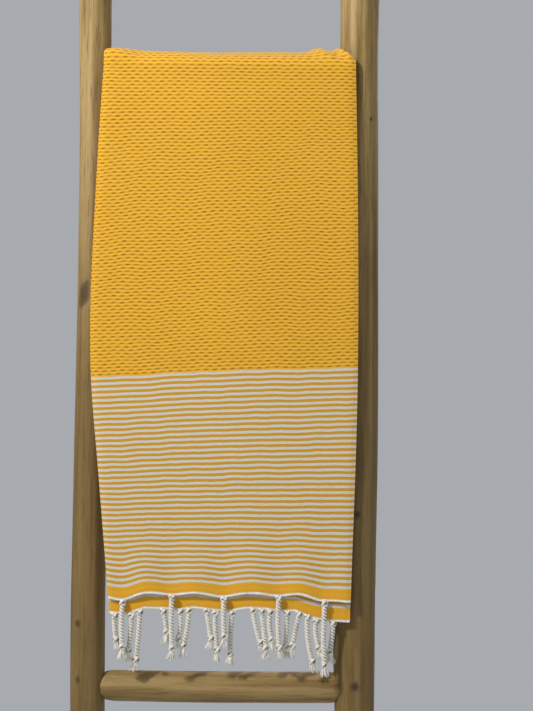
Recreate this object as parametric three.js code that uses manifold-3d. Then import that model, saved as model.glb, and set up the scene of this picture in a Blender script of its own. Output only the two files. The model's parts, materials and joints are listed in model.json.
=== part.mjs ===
// A wooden ladder rack with a folded, fringed bath towel hung over its top rung.
//
// Millimetres, +Z up, +X to the viewer's right, +Y towards the wall.
// The ladder is drawn upright in its own group, front face towards -Y, and that group leans back.
// The towel's front lies along the ladder's front, and its rear drop and its tassels hang plumb.
// The origin is on the floor, under the middle of the whole object's box.

import * as THREE from "three";
import { mergeVertices } from "three/addons/utils/BufferGeometryUtils.js";
import Module from "manifold-3d";

const wasm = await Module();
wasm.setup();

// ---------------------------------------------------------------- driving dimensions

const LEAN = THREE.MathUtils.degToRad(5); // how far the ladder leans back from plumb
const FIT_GAP = 0.3; // clearance between pieces that touch

const RAIL_LENGTH = 1500;
const RAIL_SPACING = 338; // between the middles of the rails
const RAIL_SIDES = 14;
const RAIL_RINGS = 15;
const FOOT_STOCK = 30; // extra length below the rail, sawn off level with the floor
const WALL_FACET = 3.5; // depth of the plumb flat sawn on the back of the thinner rail's top end
const RAILS = [
  { name: "left_rail", side: -1, bottomRadius: 22, topRadius: 20, bow: 1.6, phase: 0.4 },
  { name: "right_rail", side: 1, bottomRadius: 25, topRadius: 24, bow: 1.3, phase: 2.1 },
];

const SIDE_WAVES = 1.6; // how many times a rail bows from side to side over its length
const DEPTH_WAVES = 1.1; // and from front to back
const DEPTH_SHARE = 0.6; // of its sideways bow

const RUNG_PITCH = 260; // along the rails
const RUNG_COUNT = 5;
const RUNG_SIDES = 14;
const RUNG_RADIUS = 19;
const TOP_RUNG_RADIUS = 17;
const RUNG_SAG = 1.5; // how far a rung's middle hangs below its ends
const RUNG_END_INSET = 6; // from a rail's middle line to a rung's end, before it is coped
const HEWN_LENGTH = 26; // length over which a rung's end is hewn down
const HEWN_LATE = 0.75; // the part of that length where the hewing is well under way
const HEWN_RADIUS = 13.5;
const TENON_RADIUS = 11;
const SHOULDER = 6; // how far a tenon's root lies inside its rung
const PEG_RADIUS = 2.8;
const PEG_LENGTH = 30;
const PEG_SIDES = 8;
const PEG_INSET = 7; // from the rail's middle line towards the rung
const PEG_RECESS = 1; // how far a peg's head lies below the rail's surface
const HOLE_RUN_OUT = 5; // how far a drilled hole's cutter runs out past the surface

const HALF_STACK = 3.85; // three layers of cloth: one half of the folded towel
const STACK = 2 * HALF_STACK + FIT_GAP; // all six layers
const SADDLE_WIDTH = 278; // squeezed between the rails
const SADDLE_CLEARANCE = 0.6; // from the top rung to the cloth over it
const FRONT_STANDOFF = 27; // from the rails' middle plane to the back of the front drop
const SADDLE_STEPS = 7; // segments in each quarter of the arch
const HINGE_DROP = 12; // from the top rung's middle down to the line where the front drop bends
const BEND_GAP = 3.5; // room between the arch and a drop that swings
const REAR_HINGE_DROP = 9;
const OUTER_FRONT_DROP = 655; // along the ladder, from the top rung's middle to the outer hem
const INNER_FRONT_DROP = 674;
const REAR_DROP = 243;
const REAR_FLARE = { from: 88, to: 128 }; // where the rear drop widens, below its hinge
const REAR_FLARED_HALF = 158;
const REAR_HALF = 160; // half its width at the bottom
const HEM_HEIGHT = 5;
const HEM_THICKNESS = 4.6;
const FOLD_ROUNDING = 0.45; // how far a side fold is rounded off, as a share of half the cloth's thickness
const EDGE_HALVINGS = 24; // steps in the search for a place on a side edge

// The side edges of the front drop: the distance down from the top rung's middle, and x there.
const LEFT_EDGE = [
  [0, -153],
  [130, -160],
  [400, -165],
  [INNER_FRONT_DROP, -147],
];
const RIGHT_EDGE = [
  [0, 158],
  [130, 162],
  [400, 165],
  [INNER_FRONT_DROP, 158],
];

// Folding in thirds brings the tassels of all the layers together in clusters. Cords are knot to knot.
// outerPlace says which tassel of a cluster is tied to the outer hem; the rest are tied to the inner one.
const CLUSTERS = [
  { centre: -118, outerPlace: 1, cords: [30, 54, 44, 60] },
  { centre: -57, outerPlace: 1, cords: [26, 62, 34, 44] },
  { centre: -3, outerPlace: 2, cords: [34, 46, 44, 50] },
  { centre: 60, outerPlace: 3, cords: [40, 46, 34, 60, 42] },
  { centre: 117, outerPlace: 3, cords: [40, 56, 34, 76, 36] },
];
const TASSEL_STEP = 10.6; // between neighbours in a cluster
const TASSEL_SIDES = 6;
const CORD_RADIUS = 2.7;
const KNOT_RADIUS = 4.2;
const TUFT_RADIUS = 5;
const TUFT_LENGTH = 14;
const KNOT_ANGLES = [30, 75, 125]; // from a knot's top, where its rings lie
const OUTER_TASSEL_FORWARD = 37.4; // from the rails' middle plane to a tassel's axis
const INNER_TASSEL_FORWARD = 33.6;

const MERGE_DISTANCE = 1e-4; // vertices closer than this are one

// ---------------------------------------------------------------- materials

const wood = new THREE.MeshStandardMaterial({ color: 0xa98a5a, roughness: 0.62, metalness: 0 });
const pegWood = new THREE.MeshStandardMaterial({ color: 0x7a5a34, roughness: 0.7, metalness: 0 });
const yellowCloth = new THREE.MeshStandardMaterial({ color: 0xe3a62c, roughness: 0.95, metalness: 0 });
const creamCotton = new THREE.MeshStandardMaterial({ color: 0xe9e2cf, roughness: 0.95, metalness: 0 });

// ---------------------------------------------------------------- solids and booleans

/** A closed skin over rings of points, each ring anticlockwise about the direction of travel. */
function skin(rings) {
  const sides = rings[0].length;
  const points = rings.flat();
  const faces = [];
  for (let r = 0; r + 1 < rings.length; r += 1) {
    for (let s = 0; s < sides; s += 1) {
      const a = r * sides + s;
      const b = r * sides + ((s + 1) % sides);
      faces.push(a, b, b + sides, a, b + sides, a + sides);
    }
  }
  const first = points.push(middle(rings[0])) - 1;
  const last = points.push(middle(rings[rings.length - 1])) - 1;
  const lastRing = (rings.length - 1) * sides;
  for (let s = 0; s < sides; s += 1) {
    const next = (s + 1) % sides;
    faces.push(first, next, s);
    faces.push(last, lastRing + s, lastRing + next);
  }
  const geometry = new THREE.BufferGeometry().setFromPoints(points);
  geometry.setIndex(faces);
  return geometry;
}

/** The average of a ring's points. */
function middle(ring) {
  const sum = new THREE.Vector3();
  ring.forEach((point) => sum.add(point));
  return sum.divideScalar(ring.length);
}

/** A round ring in the XY plane at height z. */
function ringZ(x, y, z, radius, sides) {
  return Array.from({ length: sides }, (_, s) => {
    const angle = (2 * Math.PI * s) / sides;
    return new THREE.Vector3(x + radius * Math.cos(angle), y + radius * Math.sin(angle), z);
  });
}

/** A round ring in the YZ plane at x. */
function ringX(x, y, z, radius, sides) {
  return Array.from({ length: sides }, (_, s) => {
    const angle = (2 * Math.PI * s) / sides;
    return new THREE.Vector3(x, y + radius * Math.cos(angle), z + radius * Math.sin(angle));
  });
}

/** A manifold solid from a closed geometry. */
function toSolid(geometry) {
  const bare = geometry.clone();
  bare.deleteAttribute("normal");
  bare.deleteAttribute("uv");
  const merged = mergeVertices(bare, MERGE_DISTANCE);
  return new wasm.Manifold(
    new wasm.Mesh({
      numProp: 3,
      vertProperties: new Float32Array(merged.attributes.position.array),
      triVerts: new Uint32Array(merged.index.array),
    }),
  );
}

/** A geometry from a manifold solid. */
function toGeometry(solid) {
  const mesh = solid.getMesh();
  const geometry = new THREE.BufferGeometry();
  geometry.setAttribute("position", new THREE.BufferAttribute(new Float32Array(mesh.vertProperties), 3));
  geometry.setIndex(new THREE.BufferAttribute(new Uint32Array(mesh.triVerts), 1));
  return geometry;
}

/** A named mesh with smooth or flat normals worked out from its faces. */
function piece(name, geometry, material) {
  geometry.computeVertexNormals();
  const mesh = new THREE.Mesh(geometry, material);
  mesh.name = name;
  return mesh;
}

/** A straight round bar along X, as a solid. */
function barX(fromX, toX, y, z, radius, sides) {
  return toSolid(skin([ringX(fromX, y, z, radius, sides), ringX(toX, y, z, radius, sides)]));
}

/** A straight round bar along Y, as a solid. */
function barY(x, fromY, toY, z, radius, sides) {
  const geometry = new THREE.CylinderGeometry(radius, radius, toY - fromY, sides);
  geometry.translate(x, (fromY + toY) / 2, z);
  return toSolid(geometry);
}

// ---------------------------------------------------------------- ladder

/** Where a rail's middle is, and how thick it is, at a height along it. */
function railAt(rail, along) {
  const t = along / RAIL_LENGTH;
  const swing = rail.bow * Math.sin(2 * Math.PI * SIDE_WAVES * t + rail.phase);
  return {
    x: rail.side * (RAIL_SPACING / 2) + swing,
    y: DEPTH_SHARE * rail.bow * Math.cos(2 * Math.PI * DEPTH_WAVES * t + rail.phase),
    radius: THREE.MathUtils.lerp(rail.bottomRadius, rail.topRadius, t),
  };
}

/** The rings of a rail's bark-stripped branch, fattened by extra. */
function railRings(rail, extra) {
  return Array.from({ length: RAIL_RINGS }, (_, r) => {
    const along = THREE.MathUtils.lerp(-FOOT_STOCK, RAIL_LENGTH, r / (RAIL_RINGS - 1));
    const { x, y, radius } = railAt(rail, along);
    return ringZ(x, y, along, radius + extra, RAIL_SIDES);
  });
}

/** How far up the rails a rung sits, counted from the lowest. */
const rungHeight = (index) => RUNG_PITCH * (index + 1);

/** The straight tenon at one end of a rung, fattened by extra. */
function tenon(rail, index, extra) {
  const middleX = railAt(rail, rungHeight(index)).x;
  const inner = middleX - rail.side * (rail.bottomRadius + SHOULDER);
  const outer = middleX + rail.side * extra;
  const [from, to] = [Math.min(inner, outer), Math.max(inner, outer)];
  return barX(from, to, 0, rungHeight(index), TENON_RADIUS + extra, RUNG_SIDES);
}

/** Where a rung's peg runs, from behind the rail and through its tenon; head is how far it stands out. */
function pegBar(rail, index, extra, head) {
  const { x, y, radius } = railAt(rail, rungHeight(index));
  const back = y + radius;
  const across = x - rail.side * PEG_INSET;
  return barY(across, back - PEG_LENGTH - extra, back + head, rungHeight(index), PEG_RADIUS + extra, PEG_SIDES);
}

/** A rung before its ends are fitted: a sagging bar whose ends are hewn down. */
function rungBody(index) {
  const radius = index === RUNG_COUNT - 1 ? TOP_RUNG_RADIUS : RUNG_RADIUS;
  const half = RAIL_SPACING / 2 - RUNG_END_INSET;
  const early = 1 - HEWN_LENGTH / half;
  const late = THREE.MathUtils.lerp(early, 1, HEWN_LATE);
  const stations = [-1, -late, -early, -early / 2, 0, early / 2, early, late, 1];
  const rings = stations.map((station) => {
    const hewn = Math.max(0, (Math.abs(station) - early) / (1 - early)) ** 2;
    const thickness = THREE.MathUtils.lerp(radius, HEWN_RADIUS, hewn);
    const sag = RUNG_SAG * (1 - station * station);
    return ringX(station * half, 0, rungHeight(index) - sag, thickness, RUNG_SIDES);
  });
  return toSolid(skin(rings));
}

/** One rung, coped round both rails, with its tenons and the holes for its pegs. */
function makeRung(index) {
  let solid = rungBody(index);
  for (const rail of RAILS) {
    solid = solid.subtract(toSolid(skin(railRings(rail, FIT_GAP))));
  }
  for (const rail of RAILS) {
    solid = solid.add(tenon(rail, index, 0));
    solid = solid.subtract(pegBar(rail, index, FIT_GAP, 0));
  }
  return piece(`rung_${index + 1}`, toGeometry(solid), wood);
}

/** A box between two corners. */
function boxBetween(from, to) {
  const size = new THREE.Vector3().subVectors(to, from);
  const geometry = new THREE.BoxGeometry(size.x, size.y, size.z);
  geometry.translate((from.x + to.x) / 2, (from.y + to.y) / 2, (from.z + to.z) / 2);
  return geometry;
}

/** One rail with its sockets and peg holes, its foot sawn level and its top sawn plumb at the back. */
function makeRail(rail) {
  let solid = toSolid(skin(railRings(rail, 0)));
  for (let index = 0; index < RUNG_COUNT; index += 1) {
    solid = solid.subtract(tenon(rail, index, FIT_GAP));
    solid = solid.subtract(pegBar(rail, index, FIT_GAP, HOLE_RUN_OUT));
  }
  const reach = 2 * RAIL_LENGTH;
  const floor = boxBetween(new THREE.Vector3(-reach, -reach, -reach), new THREE.Vector3(reach, reach, 0));
  floor.rotateX(LEAN);
  solid = solid.subtract(toSolid(floor));
  const wall = boxBetween(new THREE.Vector3(-reach, 0, -reach), new THREE.Vector3(reach, reach, reach));
  wall.rotateX(LEAN);
  wall.translate(0, Math.min(...RAILS.map((each) => each.topRadius)) - WALL_FACET, RAIL_LENGTH);
  solid = solid.subtract(toSolid(wall));
  return piece(rail.name, toGeometry(solid), wood);
}

/** One peg, driven in from behind and left flush. */
function makePeg(rail, index) {
  const name = `peg_${rail.name.split("_")[0]}_${index + 1}`;
  return piece(name, toGeometry(pegBar(rail, index, 0, -PEG_RECESS)), pegWood);
}

const ladder = new THREE.Group();
for (const rail of RAILS) {
  ladder.add(makeRail(rail));
}
for (let index = 0; index < RUNG_COUNT; index += 1) {
  ladder.add(makeRung(index));
  RAILS.forEach((rail) => ladder.add(makePeg(rail, index)));
}

// ---------------------------------------------------------------- towel, lying on the leaning ladder

const TOWEL_RUNG = rungHeight(RUNG_COUNT - 1);
const SADDLE_INNER = TOP_RUNG_RADIUS + SADDLE_CLEARANCE;

/** The cloth arch over the top rung: looser in front, where it stands off the rung, than behind. */
function makeSaddle() {
  const shape = new THREE.Shape();
  const frontInner = FRONT_STANDOFF;
  const frontOuter = FRONT_STANDOFF + STACK;
  const rearInner = SADDLE_INNER;
  const rearOuter = SADDLE_INNER + STACK;
  const frontEnd = -HINGE_DROP + BEND_GAP;
  const rearEnd = -REAR_HINGE_DROP + BEND_GAP;
  shape.moveTo(-frontOuter, frontEnd);
  shape.lineTo(-frontOuter, 0);
  for (let step = 1; step <= SADDLE_STEPS; step += 1) {
    const angle = Math.PI - (Math.PI / 2) * (step / SADDLE_STEPS);
    shape.lineTo(frontOuter * Math.cos(angle), rearOuter * Math.sin(angle));
  }
  for (let step = 1; step <= SADDLE_STEPS; step += 1) {
    const angle = (Math.PI / 2) * (1 - step / SADDLE_STEPS);
    shape.lineTo(rearOuter * Math.cos(angle), rearOuter * Math.sin(angle));
  }
  shape.lineTo(rearOuter, rearEnd);
  shape.lineTo(rearInner, rearEnd);
  for (let step = 0; step <= SADDLE_STEPS; step += 1) {
    const angle = (Math.PI / 2) * (step / SADDLE_STEPS);
    shape.lineTo(rearInner * Math.cos(angle), rearInner * Math.sin(angle));
  }
  for (let step = 1; step <= SADDLE_STEPS; step += 1) {
    const angle = Math.PI / 2 + (Math.PI / 2) * (step / SADDLE_STEPS);
    shape.lineTo(frontInner * Math.cos(angle), rearInner * Math.sin(angle));
  }
  shape.lineTo(-frontInner, frontEnd);
  const geometry = new THREE.ExtrudeGeometry(shape, { depth: SADDLE_WIDTH, bevelEnabled: false });
  // the profile is drawn with y as its first axis and z as its second, and runs along x
  const turned = new THREE.Matrix4().makeBasis(
    new THREE.Vector3(0, 1, 0),
    new THREE.Vector3(0, 0, 1),
    new THREE.Vector3(1, 0, 0),
  );
  geometry.applyMatrix4(turned);
  geometry.translate(-SADDLE_WIDTH / 2, 0, TOWEL_RUNG);
  return piece("towel_saddle", geometry, yellowCloth);
}

/** A flat ring of cloth with rounded side folds, at one height: from x left to right, y front to back. */
function clothRing(left, right, front, back, z) {
  const fold = (back - front) / 2;
  const corner = fold * FOLD_ROUNDING;
  return [
    new THREE.Vector3(left + corner, front, z),
    new THREE.Vector3(right - corner, front, z),
    new THREE.Vector3(right, front + fold, z),
    new THREE.Vector3(right - corner, back, z),
    new THREE.Vector3(left + corner, back, z),
    new THREE.Vector3(left, front + fold, z),
  ];
}

/** The front drop's left and right edges at a distance down the ladder from the top rung. */
function frontEdges(down) {
  return [LEFT_EDGE, RIGHT_EDGE].map((edge) => {
    const curve = new THREE.SplineCurve(edge.map(([distance, x]) => new THREE.Vector2(distance, x)));
    return valueAt(curve, down);
  });
}

/** A spline's second value where its first value reaches a wanted one, found by halving. */
function valueAt(curve, wanted) {
  let low = 0;
  let high = 1;
  for (let pass = 0; pass < EDGE_HALVINGS; pass += 1) {
    const mid = (low + high) / 2;
    if (curve.getPoint(mid).x < wanted) {
      low = mid;
    } else {
      high = mid;
    }
  }
  return curve.getPoint((low + high) / 2).y;
}

/** One half of the towel's front drop, or its hem, between two distances down from the top rung. */
function frontPanel(name, from, to, front, back, rings, material) {
  const all = Array.from({ length: rings }, (_, r) => {
    const down = THREE.MathUtils.lerp(to, from, r / (rings - 1));
    const [left, right] = frontEdges(down);
    return clothRing(left, right, -front, -back, TOWEL_RUNG - down);
  });
  return piece(name, skin(all), material);
}

const towelFront = new THREE.Group();
const outerFront = FRONT_STANDOFF + STACK;
const outerBack = outerFront - HALF_STACK;
const innerFront = FRONT_STANDOFF + HALF_STACK;
const PANEL_RINGS = 7;
const HEM_RINGS = 2;
towelFront.add(makeSaddle());
towelFront.add(
  frontPanel("towel_front_outer", HINGE_DROP, OUTER_FRONT_DROP, outerFront, outerBack, PANEL_RINGS, yellowCloth),
  frontPanel("towel_front_inner", HINGE_DROP, INNER_FRONT_DROP, innerFront, FRONT_STANDOFF, PANEL_RINGS, yellowCloth),
);
const hems = [
  { name: "outer_hem", drop: OUTER_FRONT_DROP, back: outerBack },
  { name: "inner_hem", drop: INNER_FRONT_DROP, back: FRONT_STANDOFF },
];
for (const hem of hems) {
  const from = hem.drop + FIT_GAP;
  towelFront.add(
    frontPanel(hem.name, from, from + HEM_HEIGHT, hem.back + HEM_THICKNESS, hem.back, HEM_RINGS, creamCotton),
  );
}

// ---------------------------------------------------------------- towel, hanging plumb

/** A point on the leaning ladder, given across, in front of the rails' middle plane, and along them. */
function onLadder(x, forward, along) {
  return new THREE.Vector3(x, -forward, along).applyAxisAngle(new THREE.Vector3(1, 0, 0), -LEAN);
}

/** The rear drop: squeezed between the rails at its top, full width lower down. */
function makeRearDrop() {
  const hinge = onLadder(0, -(SADDLE_INNER + STACK / 2), TOWEL_RUNG - REAR_HINGE_DROP);
  const halfWidths = [
    [0, SADDLE_WIDTH / 2],
    [REAR_FLARE.from, SADDLE_WIDTH / 2],
    [REAR_FLARE.to, REAR_FLARED_HALF],
    [REAR_DROP - REAR_HINGE_DROP, REAR_HALF],
  ];
  const rings = halfWidths
    .map(([down, half]) => clothRing(-half, half, hinge.y - STACK / 2, hinge.y + STACK / 2, hinge.z - down))
    .reverse();
  return piece("towel_rear_drop", skin(rings), yellowCloth);
}

/** A round knot's stations, as distances down from the knot's middle and radii there. */
function knotStations(down) {
  return KNOT_ANGLES.map((degrees) => {
    const angle = THREE.MathUtils.degToRad(degrees);
    return [down - KNOT_RADIUS * Math.cos(angle), KNOT_RADIUS * Math.sin(angle)];
  });
}

/** One tassel, hanging plumb from the middle of its first knot: cord, end knot and frayed tuft. */
function makeTassel(name, x, forward, along, cordLength) {
  const top = onLadder(x, forward, along);
  const stations = [
    ...knotStations(0),
    [KNOT_RADIUS, CORD_RADIUS],
    [cordLength - KNOT_RADIUS, CORD_RADIUS],
    ...knotStations(cordLength),
    [cordLength + TUFT_LENGTH, TUFT_RADIUS],
  ];
  const rings = stations
    .map(([down, radius]) => ringZ(top.x, top.y, top.z - down, radius, TASSEL_SIDES))
    .reverse();
  return piece(name, skin(rings), creamCotton);
}

const hanging = new THREE.Group();
hanging.add(makeRearDrop());
const KNOT_DROP = HEM_HEIGHT + 2 * FIT_GAP + KNOT_RADIUS; // from a drop's end to the middle of a knot
let tasselNumber = 0;
for (const { centre, outerPlace, cords } of CLUSTERS) {
  cords.forEach((cordLength, place) => {
    tasselNumber += 1;
    const name = `tassel_${String(tasselNumber).padStart(2, "0")}`;
    const x = centre + (place - (cords.length - 1) / 2) * TASSEL_STEP;
    const onOuterHem = place === outerPlace;
    const forward = onOuterHem ? OUTER_TASSEL_FORWARD : INNER_TASSEL_FORWARD;
    const drop = onOuterHem ? OUTER_FRONT_DROP : INNER_FRONT_DROP;
    hanging.add(makeTassel(name, x, forward, TOWEL_RUNG - drop - KNOT_DROP, cordLength));
  });
}

// ---------------------------------------------------------------- the whole object

const leaning = new THREE.Group();
leaning.rotation.x = -LEAN;
leaning.add(ladder, towelFront);

const object = new THREE.Group();
object.add(leaning, hanging);
const bounds = new THREE.Box3().setFromObject(object, true);
const centre = bounds.getCenter(new THREE.Vector3());
object.position.set(-centre.x, -centre.y, -bounds.min.z);

export default object;
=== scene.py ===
"""A branch-wood ladder rack with a folded, fringed hammam towel hung over its top rung.

Metres, +Z up, +X to the viewer's right, +Y back towards the wall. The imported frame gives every
place: the lean comes from the towel's lifting joint, and the top rung's middle from the hinges.
"""

import json
import logging
import math
import random
from dataclasses import dataclass, field
from enum import Enum

import bpy
import numpy as np
from mathutils import Matrix, Vector, noise


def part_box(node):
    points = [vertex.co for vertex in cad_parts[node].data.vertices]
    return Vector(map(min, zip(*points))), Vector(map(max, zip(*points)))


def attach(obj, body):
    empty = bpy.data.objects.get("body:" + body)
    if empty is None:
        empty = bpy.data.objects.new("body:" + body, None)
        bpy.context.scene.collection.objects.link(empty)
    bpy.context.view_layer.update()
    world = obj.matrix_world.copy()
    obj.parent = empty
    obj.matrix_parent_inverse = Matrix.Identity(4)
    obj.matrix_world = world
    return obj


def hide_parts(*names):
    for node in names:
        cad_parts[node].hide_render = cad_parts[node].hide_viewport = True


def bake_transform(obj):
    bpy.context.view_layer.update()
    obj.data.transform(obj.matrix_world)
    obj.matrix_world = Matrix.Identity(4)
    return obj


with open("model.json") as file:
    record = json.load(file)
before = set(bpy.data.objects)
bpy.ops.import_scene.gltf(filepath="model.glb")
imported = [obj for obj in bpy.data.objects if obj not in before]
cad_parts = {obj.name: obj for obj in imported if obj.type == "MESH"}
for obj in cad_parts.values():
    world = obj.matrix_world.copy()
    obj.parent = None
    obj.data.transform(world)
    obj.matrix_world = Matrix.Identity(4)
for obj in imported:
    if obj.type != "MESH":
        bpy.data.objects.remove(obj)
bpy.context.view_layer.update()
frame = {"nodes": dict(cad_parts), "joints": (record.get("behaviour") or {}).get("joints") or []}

LOG = logging.getLogger("towel_ladder")
UV_NAME = "cloth"
KNOT_ATTRIBUTE = "knot"
# per point: how much painted shade the yarn gets between its strands
GROOVE_SHADE_ATTRIBUTE = "groove_shade"
MIX_COLOURS = (6, 7)  # the Mix node's two colour inputs
MIX_RESULT = 2  # the Mix node's colour output
TINY = 1e-12  # keeps a division by a length from failing

Socket = bpy.types.NodeSocket
Feed = Socket | float | tuple


# ---------------------------------------------------------------- small helpers


def deselect_all() -> None:
    """Leaves nothing selected."""
    if bpy.context.object and bpy.context.object.mode != "OBJECT":
        bpy.ops.object.mode_set(mode="OBJECT")
    bpy.ops.object.select_all(action="DESELECT")


def activate(obj: bpy.types.Object) -> None:
    """Makes one object the only selected one, and the active one.

    Args:
        obj: The object to work on.
    """
    deselect_all()
    obj.select_set(True)
    bpy.context.view_layer.objects.active = obj


def apply_modifiers(obj: bpy.types.Object) -> None:
    """Applies all of an object's modifiers, in their order.

    Args:
        obj: The object to finish.
    """
    activate(obj)
    for modifier in list(obj.modifiers):
        bpy.ops.object.modifier_apply(modifier=modifier.name)


def new_mesh_object(name: str, points: list, faces: list) -> bpy.types.Object:
    """Makes a mesh object at the origin.

    Args:
        name: The object's name.
        points: Its vertices, in metres.
        faces: Its faces, as tuples of vertex numbers.

    Returns:
        The new object, linked to the scene.
    """
    mesh = bpy.data.meshes.new(name)
    mesh.from_pydata([tuple(p) for p in points], [], faces)
    mesh.update()
    obj = bpy.data.objects.new(name, mesh)
    bpy.context.scene.collection.objects.link(obj)
    return obj


def smooth_step(x: np.ndarray, low: float, high: float) -> np.ndarray:
    """A smooth rise from 0 at low to 1 at high."""
    t = np.clip((x - low) / (high - low), 0.0, 1.0)
    return t * t * (3.0 - 2.0 * t)


def through(x: np.ndarray, stops: list[tuple[float, float]]) -> np.ndarray:
    """A smooth curve through a few stops.

    Args:
        x: Where to read the curve.
        stops: Pairs of place and value, with the places rising.

    Returns:
        The curve's values at x, held level outside the stops.
    """
    places = np.array([s[0] for s in stops])
    values = np.array([s[1] for s in stops])
    slopes = np.gradient(values, places)
    x = np.clip(x, places[0], places[-1])
    i = np.clip(np.searchsorted(places, x, side="right") - 1, 0, len(places) - 2)
    step = places[i + 1] - places[i]
    t = (x - places[i]) / step
    rise = (2 * t**3 - 3 * t**2 + 1) * values[i] + (3 * t**2 - 2 * t**3) * values[i + 1]
    lean = (t**3 - 2 * t**2 + t) * slopes[i] + (t**3 - t**2) * slopes[i + 1]
    return rise + lean * step


@dataclass(frozen=True)
class Slope:
    """A smooth rise: nothing at low, its full height at high."""

    height: float
    low: float
    high: float

    def at(self, x: np.ndarray) -> np.ndarray:
        """The rise at x."""
        return self.height * smooth_step(x, self.low, self.high)


@dataclass(frozen=True)
class Bulge:
    """A rounded swelling: its full height at its middle, fading over its reach."""

    height: float
    middle: float
    reach: float

    def at(self, x: np.ndarray) -> np.ndarray:
        """The swelling at x."""
        return self.height * np.exp(-(((x - self.middle) / self.reach) ** 2))


# ---------------------------------------------------------------- materials


@dataclass(frozen=True)
class NoiseGrade:
    """How fine a noise is, how many finer layers it has, and how strong they are."""

    scale: float
    detail: float = 3.0
    rough: float = 0.5


@dataclass(frozen=True)
class Stain:
    """Where a noise tints a surface: not at all at low, by its full share at high."""

    low: float
    high: float
    share: float


class NodeBoard:
    """A short way to wire a material's nodes."""

    def __init__(self, name: str) -> None:
        """Starts an empty material with a Principled shader.

        Args:
            name: The material's name.
        """
        self.material = bpy.data.materials.new(name)
        self.material.use_nodes = True
        self.tree = self.material.node_tree
        self.shader = self.tree.nodes["Principled BSDF"]

    def node(self, kind: str, **settings: str | bool) -> bpy.types.Node:
        """Adds a node and sets its plain properties.

        Args:
            kind: The node's type.
            **settings: The properties to set, by name.

        Returns:
            The new node.
        """
        made = self.tree.nodes.new(kind)
        for key, value in settings.items():
            setattr(made, key, value)
        return made

    def feed(self, socket: Socket, value: Feed) -> None:
        """Links a socket, or sets its value.

        Args:
            socket: The input to feed.
            value: Another node's output, or a plain value.
        """
        if isinstance(value, bpy.types.NodeSocket):
            self.tree.links.new(value, socket)
        else:
            socket.default_value = value

    def math(self, operation: str, *values: Feed, clamp: bool = False) -> Socket:
        """A Math node's result.

        Args:
            operation: What the node works out.
            *values: Its inputs, in order.
            clamp: Whether the result is held between 0 and 1.

        Returns:
            The result.
        """
        made = self.node("ShaderNodeMath", operation=operation, use_clamp=clamp)
        for socket, value in zip(made.inputs, values):
            self.feed(socket, value)
        return made.outputs[0]

    def ramp(self, value: Feed, low: float, high: float, to: tuple = (0.0, 1.0)) -> Socket:
        """A smooth rise of a value between two limits.

        Args:
            value: What is read.
            low: Where the rise starts.
            high: Where it ends, which may be below its start.
            to: What it gives at its start and at its end.

        Returns:
            The rise.
        """
        made = self.node("ShaderNodeMapRange", interpolation_type="SMOOTHSTEP")
        numbers = (value, low, high, to[0], to[1])
        for socket, number in zip(made.inputs, numbers):
            self.feed(socket, number)
        return made.outputs[0]

    def mix(self, factor: Feed, first: Feed, second: Feed) -> Socket:
        """A colour between two others.

        Args:
            factor: 0 for the first colour, 1 for the second.
            first: One colour.
            second: The other colour.

        Returns:
            The mixed colour.
        """
        made = self.node("ShaderNodeMix", data_type="RGBA")
        self.feed(made.inputs["Factor"], factor)
        for place, colour in zip(MIX_COLOURS, (first, second)):
            self.feed(made.inputs[place], colour)
        return made.outputs[MIX_RESULT]

    def stain(self, tone: Feed, source: Feed, stain: Stain, colour: tuple) -> Socket:
        """A tone with a colour mixed in where a noise is high.

        Args:
            tone: What is stained.
            source: The noise.
            stain: Where it shows, and how strongly.
            colour: The stain's colour.

        Returns:
            The stained tone.
        """
        share = self.math("MULTIPLY", self.ramp(source, stain.low, stain.high), stain.share)
        return self.mix(share, tone, colour)

    def noise(self, vector: Socket, grade: NoiseGrade) -> Socket:
        """A noise value from 0 to 1.

        Args:
            vector: Where it is read.
            grade: How fine and how rough it is.

        Returns:
            The noise.
        """
        made = self.node("ShaderNodeTexNoise")
        self.feed(made.inputs["Vector"], vector)
        self.feed(made.inputs["Scale"], grade.scale)
        self.feed(made.inputs["Detail"], grade.detail)
        self.feed(made.inputs["Roughness"], grade.rough)
        return made.outputs[0]

    def mapped(self, vector: Socket, scale: tuple, rotation: tuple = (0.0, 0.0, 0.0)) -> Socket:
        """A turned and stretched copy of some coordinates.

        Args:
            vector: The coordinates.
            scale: How far each axis is stretched.
            rotation: How far they are turned about each axis, in radians.

        Returns:
            The new coordinates.
        """
        made = self.node("ShaderNodeMapping")
        self.feed(made.inputs["Vector"], vector)
        self.feed(made.inputs["Rotation"], rotation)
        self.feed(made.inputs["Scale"], scale)
        return made.outputs[0]

    def object_coordinates(self) -> Socket:
        """The piece's own coordinates, in metres."""
        return self.node("ShaderNodeTexCoord").outputs["Object"]

    def bump(self, height: Feed, distance: float, strength: float = 1.0) -> None:
        """Feeds the shader's normal from a height.

        Args:
            height: The height, from 0 to 1.
            distance: What a height of 1 stands for, in metres.
            strength: How strongly it shows.
        """
        made = self.node("ShaderNodeBump")
        made.inputs["Strength"].default_value = strength
        made.inputs["Distance"].default_value = distance
        self.feed(made.inputs["Height"], height)
        self.feed(self.shader.inputs["Normal"], made.outputs[0])


class GrainRun(Enum):
    """Which way a piece of wood's grain runs."""

    UP_THE_RAIL = "up the rail"
    ALONG_THE_RUNG = "along the rung"


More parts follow.
